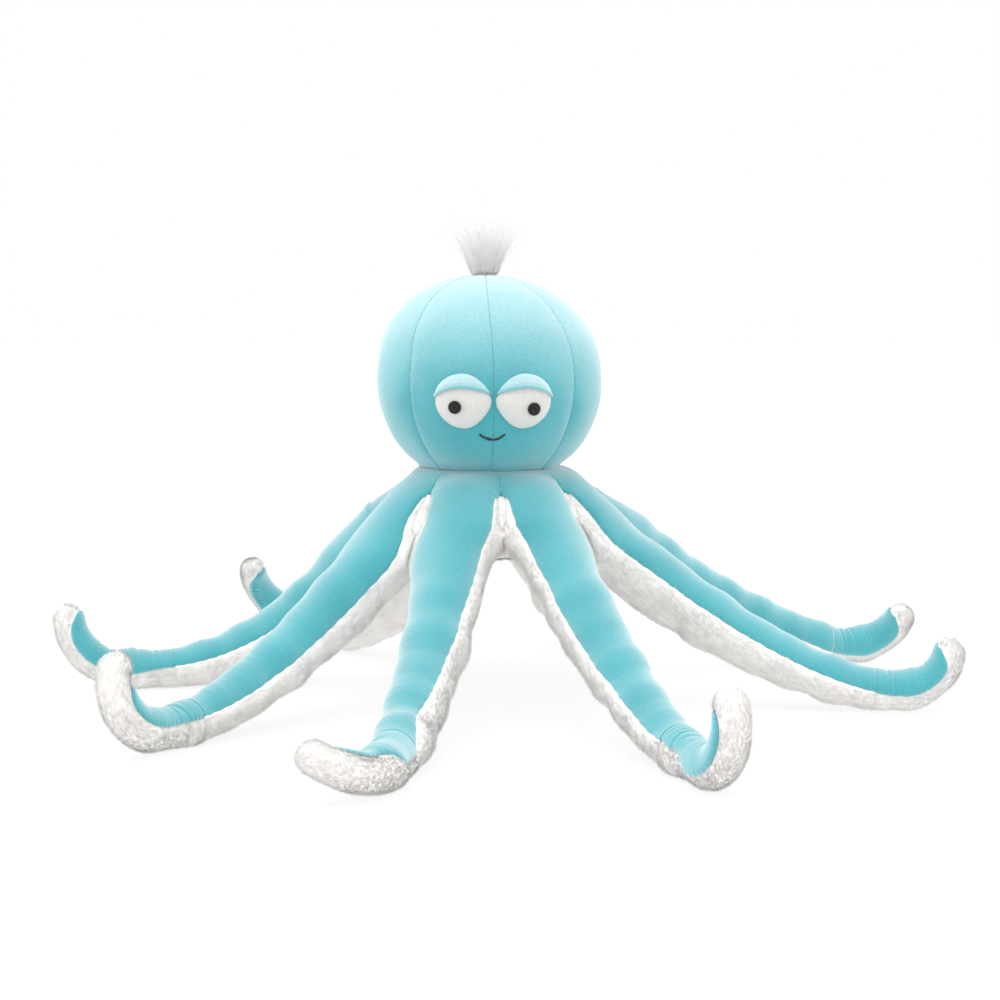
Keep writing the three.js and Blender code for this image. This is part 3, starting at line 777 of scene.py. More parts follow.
def lidCloth(side, x, y, lift, thickness):
    grid = onFace(side, x, y, lift)[0]
    lining = onFace(side, x, y, np.maximum(lift - thickness, lids["deepest"]))[0]
    return shell(grid[:, ::side], lining=lining[:, ::side])


def makeLid(side, label):
    rows = np.concatenate([[0, 0.015, 0.04], np.linspace(0.08, 0.9, 16), [0.95, 0.98, 1.0]])[:, None]
    x, y, lift, fromEdge = lidPlaces(rows)
    depth, width = lids["hemGroove"]
    cloth = lidCloth(side, x, y, lift - depth * hump(fromEdge - lids["hem"], width), lids["cloth"])
    piece = makePiece(f"eyelid_{label}_cloth", [cloth], lidVelour)
    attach(piece, "head")
    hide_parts(f"eyelid_{label}")
    x, y, lift, fromEdge = lidPlaces(None)
    roll = np.sqrt(np.clip(1 - (fromEdge / lids["hem"] * 2 - 1) ** 2, 0, 1))
    cloth = lidCloth(side, x, y, lift + lids["hemRise"] * roll + lids["hemLift"], lids["hemCloth"])
    piece = makePiece(f"eyelid_hem_{label}_cloth", [cloth], hemVelour)
    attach(piece, "head")


def makePupil(side, label):
    # A turned plastic eye with a rim round a shallow dome and a dimple in its middle.
    x, y = np.array([eyes["pupilOutset"][label]]), np.array([-eyes["pupilDrop"][label]])
    seat = domeRise(padShare(x, y), eyes["rise"]) - eyes["pupilSink"]
    place, outward = (value[0] for value in onFace(side, x, y, seat))
    across = unit(np.cross(up, outward))
    profile = np.array(eyes["pupilProfile"]) * mm
    radius, rise = spline(np.linspace(0, 1, len(profile)), profile, np.linspace(0, 1, 40)).T[..., None, None]
    turn = np.linspace(0, 2 * math.pi, 56, endpoint=False)[:, None]
    ring = across * np.cos(turn) + np.cross(outward, across) * np.sin(turn)
    grid = place + ring * radius + outward * rise
    piece = makePiece(f"safety_eye_{label}_plastic", [closedTube(grid)], blackPlastic)
    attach(piece, "head")
    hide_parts(f"safety_eye_{label}")


mouth = {
    "height": 199 * mm,
    "path": [(-11.4, 1.6), (-8.0, -0.9), (-3.8, -2.3), (0.4, -3.0), (4.8, -2.0), (10.2, 1.6)],  # mm from its middle
    "radius": 0.72 * mm,
    "lift": 0.35 * mm,
    "sunk": 1.6 * mm,  # where the thread goes through the cloth
    "sunkPlaces": [(0, 0.035, 1), (1, 0.035, 1), (0.56, 0.02, 0.35)],  # share of the way, width and depth
    "knots": [(0.40, 0.05, 0.55), (0.52, 0.03, 0.35)],
    "plies": 2,
    "twists": 9,
}


def makeMouth():
    # Twisted plies laid along the smile, with their ends pulled through the cloth.
    across, rise = spline(np.arange(6), np.array(mouth["path"]) * mm, np.linspace(0, 5, 90)).T
    share = np.linspace(0, 1, 90)
    sunk, knot = (sum(height * hump(share - place, width) for place, width, height in mouth[key])
                  for key in ("sunkPlaces", "knots"))
    angle = head["turn"] + across / head["radius"]
    path, outward = headPoint(angle, mouth["height"] + rise, mouth["lift"] - mouth["sunk"] * sunk)
    aside = np.cross(unit(np.gradient(path, axis=0)), outward)
    turn = np.linspace(0, 2 * math.pi, 14, endpoint=False)
    twist = share[:, None] * mouth["twists"] * 2 * math.pi
    radius = mouth["radius"] * (1 + knot[:, None]) * (0.86 + 0.22 * np.cos(mouth["plies"] * (turn - twist)))
    grid = (path[:, None] + aside[:, None] * (radius * np.cos(turn))[..., None]
            + outward[:, None] * (radius * np.sin(turn))[..., None])
    piece = makePiece("mouth_embroidery", [closedTube(grid)], mouthThread)
    bendNeck(piece)
    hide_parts("mouth_thread")


tuft = {
    "strands": 520,
    "quickShare": 0.5,
    "steps": 7,
    "foot": 308.5 * mm,
    "footRadius": 4.5 * mm,
    "length": 47 * mm,
    "spread": 28 * mm,
    "pinch": 9.8 * mm,
    "curl": 0.16,
    "sway": 22 * mm,
    "droop": 0.16,
    "width": 0.30 * mm,
    "softShading": 0.85,  # how far a hair is shaded like the whole fan
}


def makeTuft():
    # Fine hair that comes out of the crown in a pinch and fans out upwards.
    count, steps = int(tuft["strands"] * (1)), tuft["steps"]
    turn = chance.uniform(0, 2 * math.pi, count)
    out = np.sqrt(chance.random(count))
    reach = tuft["length"] * chance.uniform(0.72, 1.0, count)
    curl = chance.normal(0, tuft["curl"], (count, 2))
    direction = np.stack([np.sin(turn), -np.cos(turn) * 0.9], 1)
    path = np.empty((count, steps, 3))
    for k in range(steps):
        share = k / (steps - 1)
        radius = out * mix(tuft["footRadius"], tuft["pinch"], ease(share * 8))
        radius = radius + out * (tuft["spread"] - tuft["pinch"]) * share**1.5
        path[:, k, :2] = direction * radius[:, None] + curl * share**2 * tuft["sway"] + [head["topLean"], 0]
        path[:, k, 2] = tuft["foot"] + reach * (share - tuft["droop"] * out**2 * share**2)
    forward = unit(np.gradient(path, axis=1))
    aside = unit(np.cross(forward, chance.normal(size=(count, 1, 3))))
    other = np.cross(forward, aside)
    taper = (1 - 0.75 * np.linspace(0, 1, steps) ** 2)[None, :, None]
    rings = [path + (aside * math.cos(a) + other * math.sin(a)) * tuft["width"] / 2 * taper
             for a in (0, 2 * math.pi / 3, 4 * math.pi / 3)]
    points = np.stack(rings, 2).reshape(-1, 3)
    own = unit(points.reshape(count, steps, 3, 3) - path[:, :, None])
    fan = unit(np.concatenate([direction * out[:, None] * 0.5, np.ones((count, 1))], 1))
    soft = unit(mix(own, fan[:, None, None], tuft["softShading"])).reshape(-1, 3)
    faces = []
    for base in range(0, count * steps * 3, steps * 3):
        last = base + 3 * (steps - 1)
        sides = [[face[0], *face[:0:-1]] for face in gridFaces(steps, 3, around=True, start=base)]
        faces += [[base + 2, base + 1, base], *sides, [last, last + 1, last + 2]]
    piece = makePiece("hair_tuft_fibres", [(points, faces, soft)], hairFibre)
    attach(piece, "head")
    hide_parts("hair_tuft")


for label, side in (("left", -1), ("right", 1)):
    makePad(side, label)
    makeLid(side, label)
    makePupil(side, label)
makeMouth()
makeTuft()
print("face ready")


# The tentacles. Their routes and sizes are those of the frame.

tentacles = {
    "hingeReach": 62 * mm,
    "hingeHeight": 138 * mm,
    "rootRadius": 22 * mm,
    "reach": 272 * mm,
    "curl": 34 * mm,
    "foot": 16 * mm,
    "footHeight": 13.728 * mm,
    "ringTurn": math.radians(7),
    "radiusShares": (1, 1.11, 0.98, 0.82, 0.7),
    "tipEndShare": 0.75,
    "pileDepth": 2.2 * mm,  # from the CAD surface down to the fur's backing
    "velourDepth": 0.4 * mm,
    "cloth": 1.2 * mm,
    "webWidth": 9.3 * mm,  # extra half width where the panels join at the roots
    "webHeight": 4.5 * mm,
    "seamRise": math.radians(8),  # how far the side seams lie above the widest place
    "rootSeamRise": math.radians(24),  # and how much further at the root, where the panels meet
    "splitBack": 15 * mm,  # where the tip's cloth starts, before the fold
    "meeting": (0.2 * mm, 1.5 * mm),  # depth and width of the crease where it meets the arm's
    "creaseWidth": 1.15,  # of those at the fold, in mm
    "start": 0.06,  # share of the route where the plain sections begin
    "lump": 0.55 * mm,  # unevenness of the filling
    "lumpWaves": ((8.2 * mm, 2.1), (5.3 * mm, 4.3)),  # size, and how much one tentacle's differs from the next
    "lumpFrom": 25 * mm,
    "lumpOver": 60 * mm,
}
limbTable = [  # name, swing, roll, lean, turn, drop, reach, curl, foot
    ("front_left", 2, -25, -63, 88, 1.85, 0.959, 0.98, 1.65),
    ("front_right", -3.3, 25, 5, 122, 1.6, 1.0125, 0.78, 1.4),
    ("right_front", 3.8, 14, -11, 82, 1.6, 1.087, 0.97, 0.5),
    ("right_back", -8, 0, -35, 84, 1.3, 1.1515, 1.01, 0.5),
    ("back_right", -4, 0, 35, 95, 1.45, 0.973, 0.9, 0.6),
    ("back_left", 8, 0, 38, 128, 2, 0.8685, 1.3, 0.4),
    ("left_back", 11.6, 0, -8, 93, 1.9, 0.933, 1.3, 1.4),
    ("left_front", 10.4, 0, -15, 119, 1.8, 0.98, 0.92, 1.03),
]


def describeLimb(index, row):
    name, swing, roll, lean, turn, drop, reach, curl, foot = row
    azimuth = tentacles["ringTurn"] + (index - 0.5) * math.pi / 4
    swing, roll, lean, turn = np.radians([swing, roll, lean, turn])
    return SimpleNamespace(
        index=index, name=name, azimuth=azimuth, swing=swing, roll=roll, lean=lean, turn=turn, drop=drop,
        reach=reach * tentacles["reach"], curl=curl * tentacles["curl"], foot=foot * tentacles["foot"],
        out=roundAxis(1.0, azimuth, 0.0), aside=roundAxis(-1.0, azimuth + math.pi / 2, 0.0),
    )


limbs = [describeLimb(index, row) for index, row in enumerate(limbTable)]


def armPoint(limb, share):
    out = tentacles["hingeReach"] + (limb.reach - tentacles["hingeReach"]) * share
    foot = tentacles["footHeight"]
    height = foot + (tentacles["hingeHeight"] - foot) * (1 - share) ** limb.drop
    return roundAxis(out, limb.azimuth + limb.swing * share**1.3, height)


def armFrames(limb, share):
    # Centre, along, side and top of the tentacle's sections from the root to the fold.
    share = np.asarray(share, float)
    step = 0.01
    along = unit(armPoint(limb, np.minimum(share + step, 1)) - armPoint(limb, np.maximum(share - step, 0)))
    along[:, 2] *= 1 - ease((share - 0.9) / 0.1)
    along = unit(along)
    roll = limb.roll * ease(share / 0.3) + (limb.lean - limb.roll) * share**3
    sideways = unit(np.cross(up, along))
    upright = np.cross(along, sideways)
    top = upright * np.cos(roll)[:, None] + sideways * np.sin(roll)[:, None]
    radius = tentacles["rootRadius"] * spline(np.linspace(0, 1, 5), tentacles["radiusShares"], share)
    return armPoint(limb, share), along, np.cross(along, top), top, radius


def tipFrames(limb, share):
    # The same for the tip: a straight foot on the floor, then the curl.
    centre, along, side, top, radius = (value[0] for value in armFrames(limb, [1.0]))
    travelled = tipLength(limb) * np.asarray(share, float)
    angle = np.maximum(0, travelled - limb.foot) / limb.curl
    straight = np.minimum(travelled, limb.foot) + limb.curl * np.sin(angle)
    places = centre + along * straight[:, None] + top * (limb.curl * (1 - np.cos(angle)))[:, None]
    cos, sin = np.cos(angle)[:, None], np.sin(angle)[:, None]
    alongs, tops = along * cos + top * sin, top * cos - along * sin
    radii = radius * mix(1, tentacles["tipEndShare"], np.asarray(share, float))
    return places, alongs, np.broadcast_to(side, alongs.shape), tops, radii


def tipLength(limb):
    return limb.foot + limb.curl * limb.turn


def armLength(limb):
    return np.linalg.norm(np.diff(armPoint(limb, np.linspace(0, 1, 200)), axis=0), axis=1).sum()


def ringPoints(frames, angles, offset, widths=0.0, heights=0.0):
    # Points round each section. Angles are measured from its side over its top.
    centre, along, side, top, radius = frames
    lateral = radius[:, None] + widths + offset
    upper = np.where(np.sin(angles) > 0, (radius + heights)[:, None], radius[:, None]) + offset
    return (centre[:, None] + side[:, None] * (lateral * np.cos(angles))[..., None]
            + top[:, None] * (upper * np.sin(angles))[..., None])


def velourAngles(rises, turned=0.0):
    # Where the columns of the velour lie round a tentacle whose seams rise by so much.
    return rises[:, None] + velourColumns * (math.pi - 2 * rises[:, None]) + np.reshape(turned, (-1, 1))


frontSides = {"front_left": -1, "front_right": 1}  # which side of a front tentacle faces the other one


def facesOther(limb, angles):
    # 1 on the side of a front tentacle that faces the other one.
    if limb.name not in frontSides:
        return 0.0
    return ease(0.5 + 0.9 * frontSides[limb.name] * np.cos(angles))


def webExtra(limb, share, angles):
    # The joined panels make a root wider. The two front tentacles part sooner from each other.
    share = share[:, None]
    wide = hump(share - 0.115, 0.115)
    return tentacles["webWidth"] * mix(wide, 1.1 * hump(share - 0.035, 0.06), facesOther(limb, angles))


def furExtra(limb, share, angles):
    # How much wider the fur is than the CAD section, with a flare where it comes out under the body.
    extra = webExtra(limb, share, angles)
    share = share[:, None]
    narrower = 0.95 * facesOther(limb, angles) * ease((share - 0.03) / 0.05)
    flare = furForm["flare"] * hump(share - 0.05, 0.085) * (1 - narrower)
    return extra + furForm["overhang"] * (1 - ease((share - 0.82) / 0.12)) + flare


def topExtra(share):
    return tentacles["webHeight"] * hump(share, 0.11)


def seamAngle(share):
    return tentacles["seamRise"] + tentacles["rootSeamRise"] * hump(share, 0.13)


def lumps(limb, travelled):
    # The unevenness of the filling, the same for both cloths of a tentacle.
    waves = sum(np.cos(travelled / size + phase * limb.index) for size, phase in tentacles["lumpWaves"])
    return tentacles["lump"] * waves * ease((travelled - tentacles["lumpFrom"]) / tentacles["lumpOver"])


def inSector(points, limb, margin=0.05 * mm):
    # Keeps the root of a tentacle on its own side of the seams to its neighbours.
    out, aside = points @ limb.out, points @ limb.aside
    limit = np.maximum(out, 1 * mm) * math.tan(math.pi / 8) - margin
    over = np.abs(aside) - limit
    near = (over > 0) & (out < sectorReach)
    moved = np.where(near, np.sign(aside) * limit - aside, 0.0)
    return points + limb.aside * moved[..., None]


velourColumns = np.array([0, 0.005, 0.013, 0.026, 0.047, 0.08, 0.125, 0.175, 0.23, 0.285, 0.34, 0.395, 0.45, 0.5])
velourColumns = np.concatenate([velourColumns, 1 - velourColumns[-2::-1]])
furColumns = 52
furForm = {
    "flare": 7.5 * mm,
    "overhang": 1.8 * mm,
    "unevenness": 0.6 * mm,
    "unevenSize": 24 * mm,
    "seamDepths": (0.7 * mm, 2.4 * mm),  # below the velour at its edges and in its middle
    "overlap": 0.2 * mm,  # how far it reaches past the seams to its neighbours
    "crotchInset": 0.3 * mm,  # inside the velour where neighbours meet
    "crotchShare": 0.985,
    "crotchBack": 14 * mm,
    "crotchDrop": 33 * mm,
    "sideFill": 3.5 * mm,
    "frontFlat": 3 * mm,
    "backFlat": 23 * mm,
    "rootEnds": [(0.6, 14 * mm), (0.25, 9 * mm)],  # how narrow it closes at its root, and how far in
}
crotch = {"out": 62.8 * mm, "aside": 26.0 * mm, "height": 154 * mm, "topOut": 71 * mm, "topHeight": 163.8 * mm}
sectorReach = 115 * mm  # how far out a tentacle keeps to its own side of the seams
crotchNotch = 0.05  # share of the velour's width
crotchFolds = [(0.55, 11 * mm, 0.9 * mm), (1.6, 8 * mm, 0.7 * mm)]  # how steep, how long and how deep
neckRows = [(48.6 * mm, -2.6 * mm), (50.8 * mm, -1.3 * mm), (53.0 * mm, -2.2 * mm)]  # radius, height from the seam
yoke = {"out": 56.4 * mm, "aside": 23.36 * mm, "height": 164.5 * mm, "topOut": 60.5 * mm, "topHeight": 168.6 * mm}
shoulderRise = {"left_back": -7 * mm, "left_front": -3 * mm, "right_back": 2.5 * mm}  # beside a plain shoulder
rootRise = {"right_back": 6 * mm, "left_back": 4.5 * mm}


def placed(limb, out, aside, height):
    return limb.out * out[..., None] + limb.aside * aside[..., None] + up * height[..., None]


def archRow(limb, edge, rise, power):
    # A row of the top panel that arches from seam to seam.
    across = 1 - 2 * velourColumns
    arch = np.maximum(0, 1 - across**2) ** power
    out = mix(edge["out"], edge["topOut"], arch)
    return placed(limb, out, edge["aside"] * across, mix(edge["height"], edge["topHeight"] + rise, arch))


def ringRow(limb, radius, height):
    turn = (1 - 2 * velourColumns) * math.pi / 8
    return placed(limb, radius * np.cos(turn), radius * np.sin(turn), np.full(turn.shape, neckHeight + height))


def grooves(limb, along, angles, places, seed):
    # Creases across the velour between soft puffs. A place is a distance along, a depth and a width, all in mm.
    deal = np.random.default_rng(seed + limb.index)
    total = np.zeros(np.broadcast(along, angles).shape)
    for distance, depth, width in places:
        slant, middle, spread = deal.normal(0, 1.3), deal.normal(math.pi / 2, 0.4), deal.uniform(0.75, 1.4)
        bow = deal.normal(0, 0.8)
        d = (along - (distance + slant * np.cos(angles) + bow * np.cos(2 * angles)) * mm) / (width * mm)
        valley = np.exp(0.35 - np.sqrt(d * d + 0.12))
        total += depth * mm * (0.45 * hump(d, 3.6) - valley) * hump(angles - middle, spread)
    return total * np.clip(np.sin(angles), 0, 1) ** 0.5


foldCreases = {  # distance from the fold and depth of the creases of a tip, in mm
    "front_left": [(-10, 0.5), (-3.5, 1.0), (2, 1.8), (7, 1.3), (26, 0.6)],
    "front_right": [(-9, 0.6), (-4, 0.9), (0.5, 1.4), (5, 1.0), (13, 0.6), (30, 0.5)],
    "right_front": [(-3, 1.7), (1.5, 1.9), (24, 0.6), (35, 0.9), (41, 0.6)],
    "right_back": [(-5, 1.3), (0, 1.9), (4.5, 1.5), (21, 1.0), (26, 1.3), (40, 0.7)],
    "back_right": [(-3, 1.0), (2, 1.6), (12, 0.8), (30, 0.8)],
    "back_left": [(-2, 1.2), (3, 1.5), (12, 1.3), (18, 1.2), (26, 1.2), (36, 0.8)],
    "left_back": [(-2, 0.9), (4, 1.1), (15, 1.7), (22, 1.9), (33, 1.9), (43, 1.0), (54, 1.5)],
    "left_front": [(-1.5, 1.2), (4, 1.9), (9.5, 0.7), (30, 0.5)],
}


def foldWaves(limb, fromFold, angles):
    places = [(distance, depth, tentacles["creaseWidth"]) for distance, depth in foldCreases[limb.name]]
    depth, width = tentacles["meeting"]
    meeting = depth * hump(fromFold + tentacles["splitBack"], width)[:, None] * np.clip(np.sin(angles), 0, 1)
    return grooves(limb, fromFold[:, None], angles, places, 30) - meeting


def armRipples(limb, share, angles):
    # Slack folds that cross the velour in the lower part of a tentacle, in mm.
    deal = np.random.default_rng(90 + limb.index)
    length = armLength(limb) / mm
    places, distance = [], length * 0.42
    while distance < length - 15:
        lower = distance / length
        places.append((distance, deal.uniform(0.3, 0.9) * (0.25 + 0.5 * lower), deal.uniform(2.0, 3.2)))
        distance += deal.uniform(7, 14) * (1.35 - 0.6 * lower)
    return grooves(limb, (share * armLength(limb))[:, None], angles, places, 50)


def notchAt(step, rows, ahead=0.0):
    # Below the crotch the velour's edges stand back by this share, and the fur shows between neighbours.
    return crotchNotch * ease((step + ahead) / 2.2) * (1 - ease((step - 0.4 * rows) / (1.4 * rows)))


def notched(grid, crotchRow, rows):
    trimmed = grid.copy()
    for row in range(crotchRow + 1, len(grid)):
        back = notchAt(row - crotchRow, rows)
        trimmed[row] = pointsAt(back + (1 - 2 * back) * velourColumns, velourColumns, grid[row])
    return trimmed


crease = {"width": 1.1 * mm, "start": 1 * mm, "lipPlace": 2.4 * mm, "lipWidth": 1.3 * mm}


def crotchCreases(grid, crotchRow):
    # Small tight folds that run into the velour from both crotches.
    normals = gridNormals(grid)
    pushed = grid.copy()
    for column in (0, -1):
        corner = grid[crotchRow, column]
        inward = unit(grid[crotchRow, 6 if column == 0 else -7] - corner)
        upward = unit(grid[crotchRow - 5, column] - corner)
        for lean, reach, depth in crotchFolds:
            line = unit(inward + upward * lean)
            offset = grid - corner
            ahead = offset @ line
            beside = np.linalg.norm(offset - ahead[..., None] * line, axis=-1)
            dent = hump(beside, crease["width"]) * ease(ahead / crease["start"]) * hump(ahead, reach)
            lip = 0.5 * hump(beside - crease["lipPlace"], crease["lipWidth"]) * hump(ahead, reach * 0.8) * (ahead > 0)
            pushed = pushed - normals * (depth * (dent - lip))[..., None]
    return pushed


# How far round a tentacle its velour has slipped before the fold, and how much further, or back, after it
edgeTurns = {"front_left": [(70, 0.80, 0.20)], "front_right": [(14, 0.85, 0.15)]}  # degrees, share it starts at, over
edgeSways = {"front_right": (-13, 0.42, 0.25)}
tipTurns = {"front_left": (-70, 12 * mm, 24 * mm), "front_right": (-46, 5 * mm, 20 * mm),
            "left_back": (15, -5 * mm, 25 * mm)}


def edgeTurn(limb, share):
    total = share * 0
    for degrees, start, over in edgeTurns.get(limb.name, ()):
        total = total + degrees * ease((share - start) / over)
    if limb.name in edgeSways:
        degrees, middle, width = edgeSways[limb.name]
        total = total + degrees * hump(share - middle, width)
    return np.radians(total)


def tipTurn(limb, fromFold):
    degrees, start, over = tipTurns.get(limb.name, (0, 0, 1))
    return edgeTurn(limb, np.ones(len(fromFold))) + math.radians(degrees) * ease((fromFold - start) / over)


def velourGrid(limb):
    # The whole top panel from the neck seam to the fold, and the row where it leaves the body's cover.
    rise = shoulderRise.get(limb.name, 0.0)
    keyRows = [ringRow(limb, *row) for row in neckRows]
    keyRows += [archRow(limb, yoke, rise * 0.6, 0.85), archRow(limb, crotch, rise, 0.62)]
    shares = np.array([tentacles["start"], 0.10, 0.14])
    angles = velourAngles(seamAngle(shares))
    widths = webExtra(limb, shares, angles)
    starts = ringPoints(armFrames(limb, shares), angles, -tentacles["velourDepth"], widths, topExtra(shares))
    keyRows += list(inSector(starts, limb))
    knots = [0, 0.25, 0.4, 1.15, 2.3, 4.4, 5.6, 6.8]
    coverRows = np.concatenate([[0, 0.15, 0.27, 0.4], np.linspace(0.55, 2.3, 13)])
    rootRows = np.linspace(2.3, 4.4, 15)[1:-1]
    near = spline(knots, keyRows, np.concatenate([coverRows, rootRows]))

    length = armLength(limb)
    shares = np.linspace(tentacles["start"], 1 - tentacles["splitBack"] / length, 104)
    rises = seamAngle(shares)
    angles = velourAngles(rises, edgeTurn(limb, shares))
    offset = -tentacles["velourDepth"] + armRipples(limb, shares, angles)
    offset = offset + foldWaves(limb, (shares - 1) * length, angles) + lumps(limb, shares * length)[:, None]
    higher = topExtra(shares) + rootRise.get(limb.name, 0.0) * hump(shares - 0.2, 0.14)
    widths = webExtra(limb, shares, angles)
    far = inSector(ringPoints(armFrames(limb, shares), angles, offset, widths, higher), limb)
    crotchRow = len(coverRows) - 1
    rises = np.concatenate([np.full(len(near), rises[0]), rises])
    return np.concatenate([near, far]), crotchRow, len(near) - crotchRow, rises[crotchRow:]


edges = {"depth": 1.5 * mm, "width": 1.1 * mm, "pucker": 0.22 * mm, "puckerWidth": 3 * mm,
         "soft": 0.35 * mm, "softSize": 34 * mm, "softEdge": 7 * mm}


def turnEdges(grid, depth):
    # Draws both long edges of a panel in, as a sewn seam does.
    normals = gridNormals(grid)
    steps = np.linalg.norm(np.diff(grid, axis=1), axis=-1)
    travelled = np.concatenate([np.zeros((len(grid), 1)), np.cumsum(steps, 1)], 1)
    fromEdge = np.minimum(travelled, travelled[:, -1:] - travelled)
    pucker = edges["pucker"] * hump(fromEdge, edges["puckerWidth"]) * np.sin(np.arange(len(grid)) * 1.25)[:, None]
    soft = edges["soft"] * wobble(grid, edges["softSize"], 23) * ease(fromEdge / edges["softEdge"])
    return grid + normals * (soft - pucker - depth * np.exp(-fromEdge / edges["width"]))[..., None]


def furRing(panelRow, normalRow, lower):
    # One ring of the fur's backing: under the velour from edge to edge, then round below it.
    deep = mix(*furForm["seamDepths"], ease(np.minimum(velourColumns, 1 - velourColumns) / 0.13))
    upper = (panelRow - normalRow * deep[:, None])[::2]
    return np.concatenate([upper, lower[1:-1], upper[:1]])


def crotchArc(limb, around):
    # The backing's lower arc where neighbours meet: down their seam, then under the body.
    cos, sin = np.cos(around * math.pi), np.maximum(0, np.sin(around * math.pi))
    aside = -crotch["aside"] * np.sign(cos) * np.abs(cos) ** 0.35
    out = crotch["out"] - furForm["crotchBack"] * sin**2
    height = crotch["height"] - furForm["crotchDrop"] * sin**1.2
    return placed(limb, out - furForm["crotchInset"], aside * furForm["crotchShare"], height)


def sideFill(limb, share, angles):
    # One tentacle bulges below its velour, on the side that faces its neighbour.
    if limb.name != "front_left":
        return 0.0
    below = np.clip(np.cos(angles - math.radians(248)), 0, 1)
    return furForm["sideFill"] * ease((share - 0.5) / 0.35)[:, None] * below


def flattened(limb, share, angles):
    # Undersides that are flatter: of the front tentacles below the crotch, and of one that hides behind them.
    share = share[:, None]
    if limb.name in frontSides:
        return furForm["frontFlat"] * hump(share - 0.2, 0.13) * ease((-np.sin(angles) - 0.2) / 0.5)
    if limb.name == "back_right":
        inner = ease((np.cos(angles - math.radians(220)) + 0.25) / 0.8)
        return furForm["backFlat"] * hump(share - 0.29, 0.2) * inner
    return 0.0


def furGrid(limb, panel, rows, rises):
    # The white backing of a tentacle as a whole tube. panel is its velour, and rows counts those before its start.
    around, length = np.linspace(0, 1, 35), armLength(limb)
    shares = np.linspace(tentacles["start"], 1 - tentacles["splitBack"] / length, len(panel) - rows)
    angles = math.pi - rises[rows:, None] + around * (math.pi + 2 * rises[rows:, None])
    angles = angles + edgeTurn(limb, shares)[:, None]
    offset = lumps(limb, shares * length)[:, None] - tentacles["pileDepth"]
    offset = offset + sideFill(limb, shares, angles) - flattened(limb, shares, angles)
    arcs = ringPoints(armFrames(limb, shares), angles, offset, furExtra(limb, shares, angles))
    uneven = furForm["unevenness"] * (1 - ease((shares - 0.82) / 0.12))[:, None]
    arcs = arcs + gridNormals(arcs) * (uneven * wobble(arcs, furForm["unevenSize"], 41))[..., None]
    arcs = inSector(arcs, limb, -furForm["overlap"])
    joinRows = [crotchArc(limb, around), arcs[0], arcs[7], arcs[14]]
    nearArcs = spline([0, 2.1, 3.0, 3.9], joinRows, np.linspace(0, 2.1, rows + 1)[:-1])
    arcs = np.concatenate([inSector(nearArcs, limb, -furForm["overlap"]), arcs])
    rings = [furRing(*row) for row in zip(panel, gridNormals(panel), arcs)]
    ends = [mix(rings[0], rings[0].mean(0), share) - limb.out * back for share, back in furForm["rootEnds"]]
    return np.array([*ends, *rings])


webStrip = {  # from its top to its lower end
    "knots": (0, 0.35, 0.65, 0.9, 1),
    "reach": np.array([69.5, 77.5, 83, 84, 79]) * mm,
    "height": np.array([155.5, 144.5, 135, 128, 126]) * mm,
    "halfWidth": np.array([6.0, 7.5, 7.0]) * mm,
    "crown": 2.2 * mm,
    "cloth": 1.5 * mm,
    "pileShare": 0.6,
}


def webPatch(limb):
    # A strip of the white underside that fills the crotch between a tentacle and its neighbour.
    boundary = limb.azimuth + math.pi / 8
    aside = roundAxis(1.0, boundary + math.pi / 2, 0.0)
    turn, across = np.linspace(0, 1, 26), np.linspace(-1, 1, 17)
    reach, height = (spline(webStrip["knots"], webStrip[key], turn) for key in ("reach", "height"))
    half = spline([0, 0.5, 1], webStrip["halfWidth"], turn)
    middle = roundAxis(reach, boundary, height)
    normal = unit(np.cross(np.gradient(middle, axis=0), aside))
    grid = middle[:, None] + aside * (half[:, None] * across)[..., None]
    return grid - normal[:, None] * (webStrip["crown"] * np.abs(across) ** 2.5)[None, :, None]


upperColumns = len(velourColumns[::2])


def furFields(grid, rows):
    # Where the pile grows, how long it is and which way it parts, on a tentacle's backing.
    columns = grid.shape[1]
    weights = np.ones((len(grid) - 1, columns - 1))
    back = notchAt(np.arange(len(grid) - 1) - 2, rows, 0.5)
    middles = (velourColumns[:-2:2] + velourColumns[2::2]) / 2
    weights[:, :upperColumns - 1] = np.minimum(middles, 1 - middles)[None, :] < back[:, None] + 0.012
    weights[:2] = 0
    around = np.clip((np.arange(columns) - upperColumns + 1) / (columns - upperColumns), 0, 1)
    lengths = mix(0.66, 1.0, ease(np.minimum(around, 1 - around) / 0.16))
    return weights, lengths[None, :], 0.6 * np.cos(math.pi * around)[None, :]


def bendAt(piece, limb):
    # Bakes the piece's place into its mesh.
    centre, along = (value[0] for value in armFrames(limb, [0.0])[:2])
    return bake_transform(piece)


def bendTip(piece, limb):
    centre, along = (value[0] for value in armFrames(limb, [1.0])[:2])
    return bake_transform(piece)


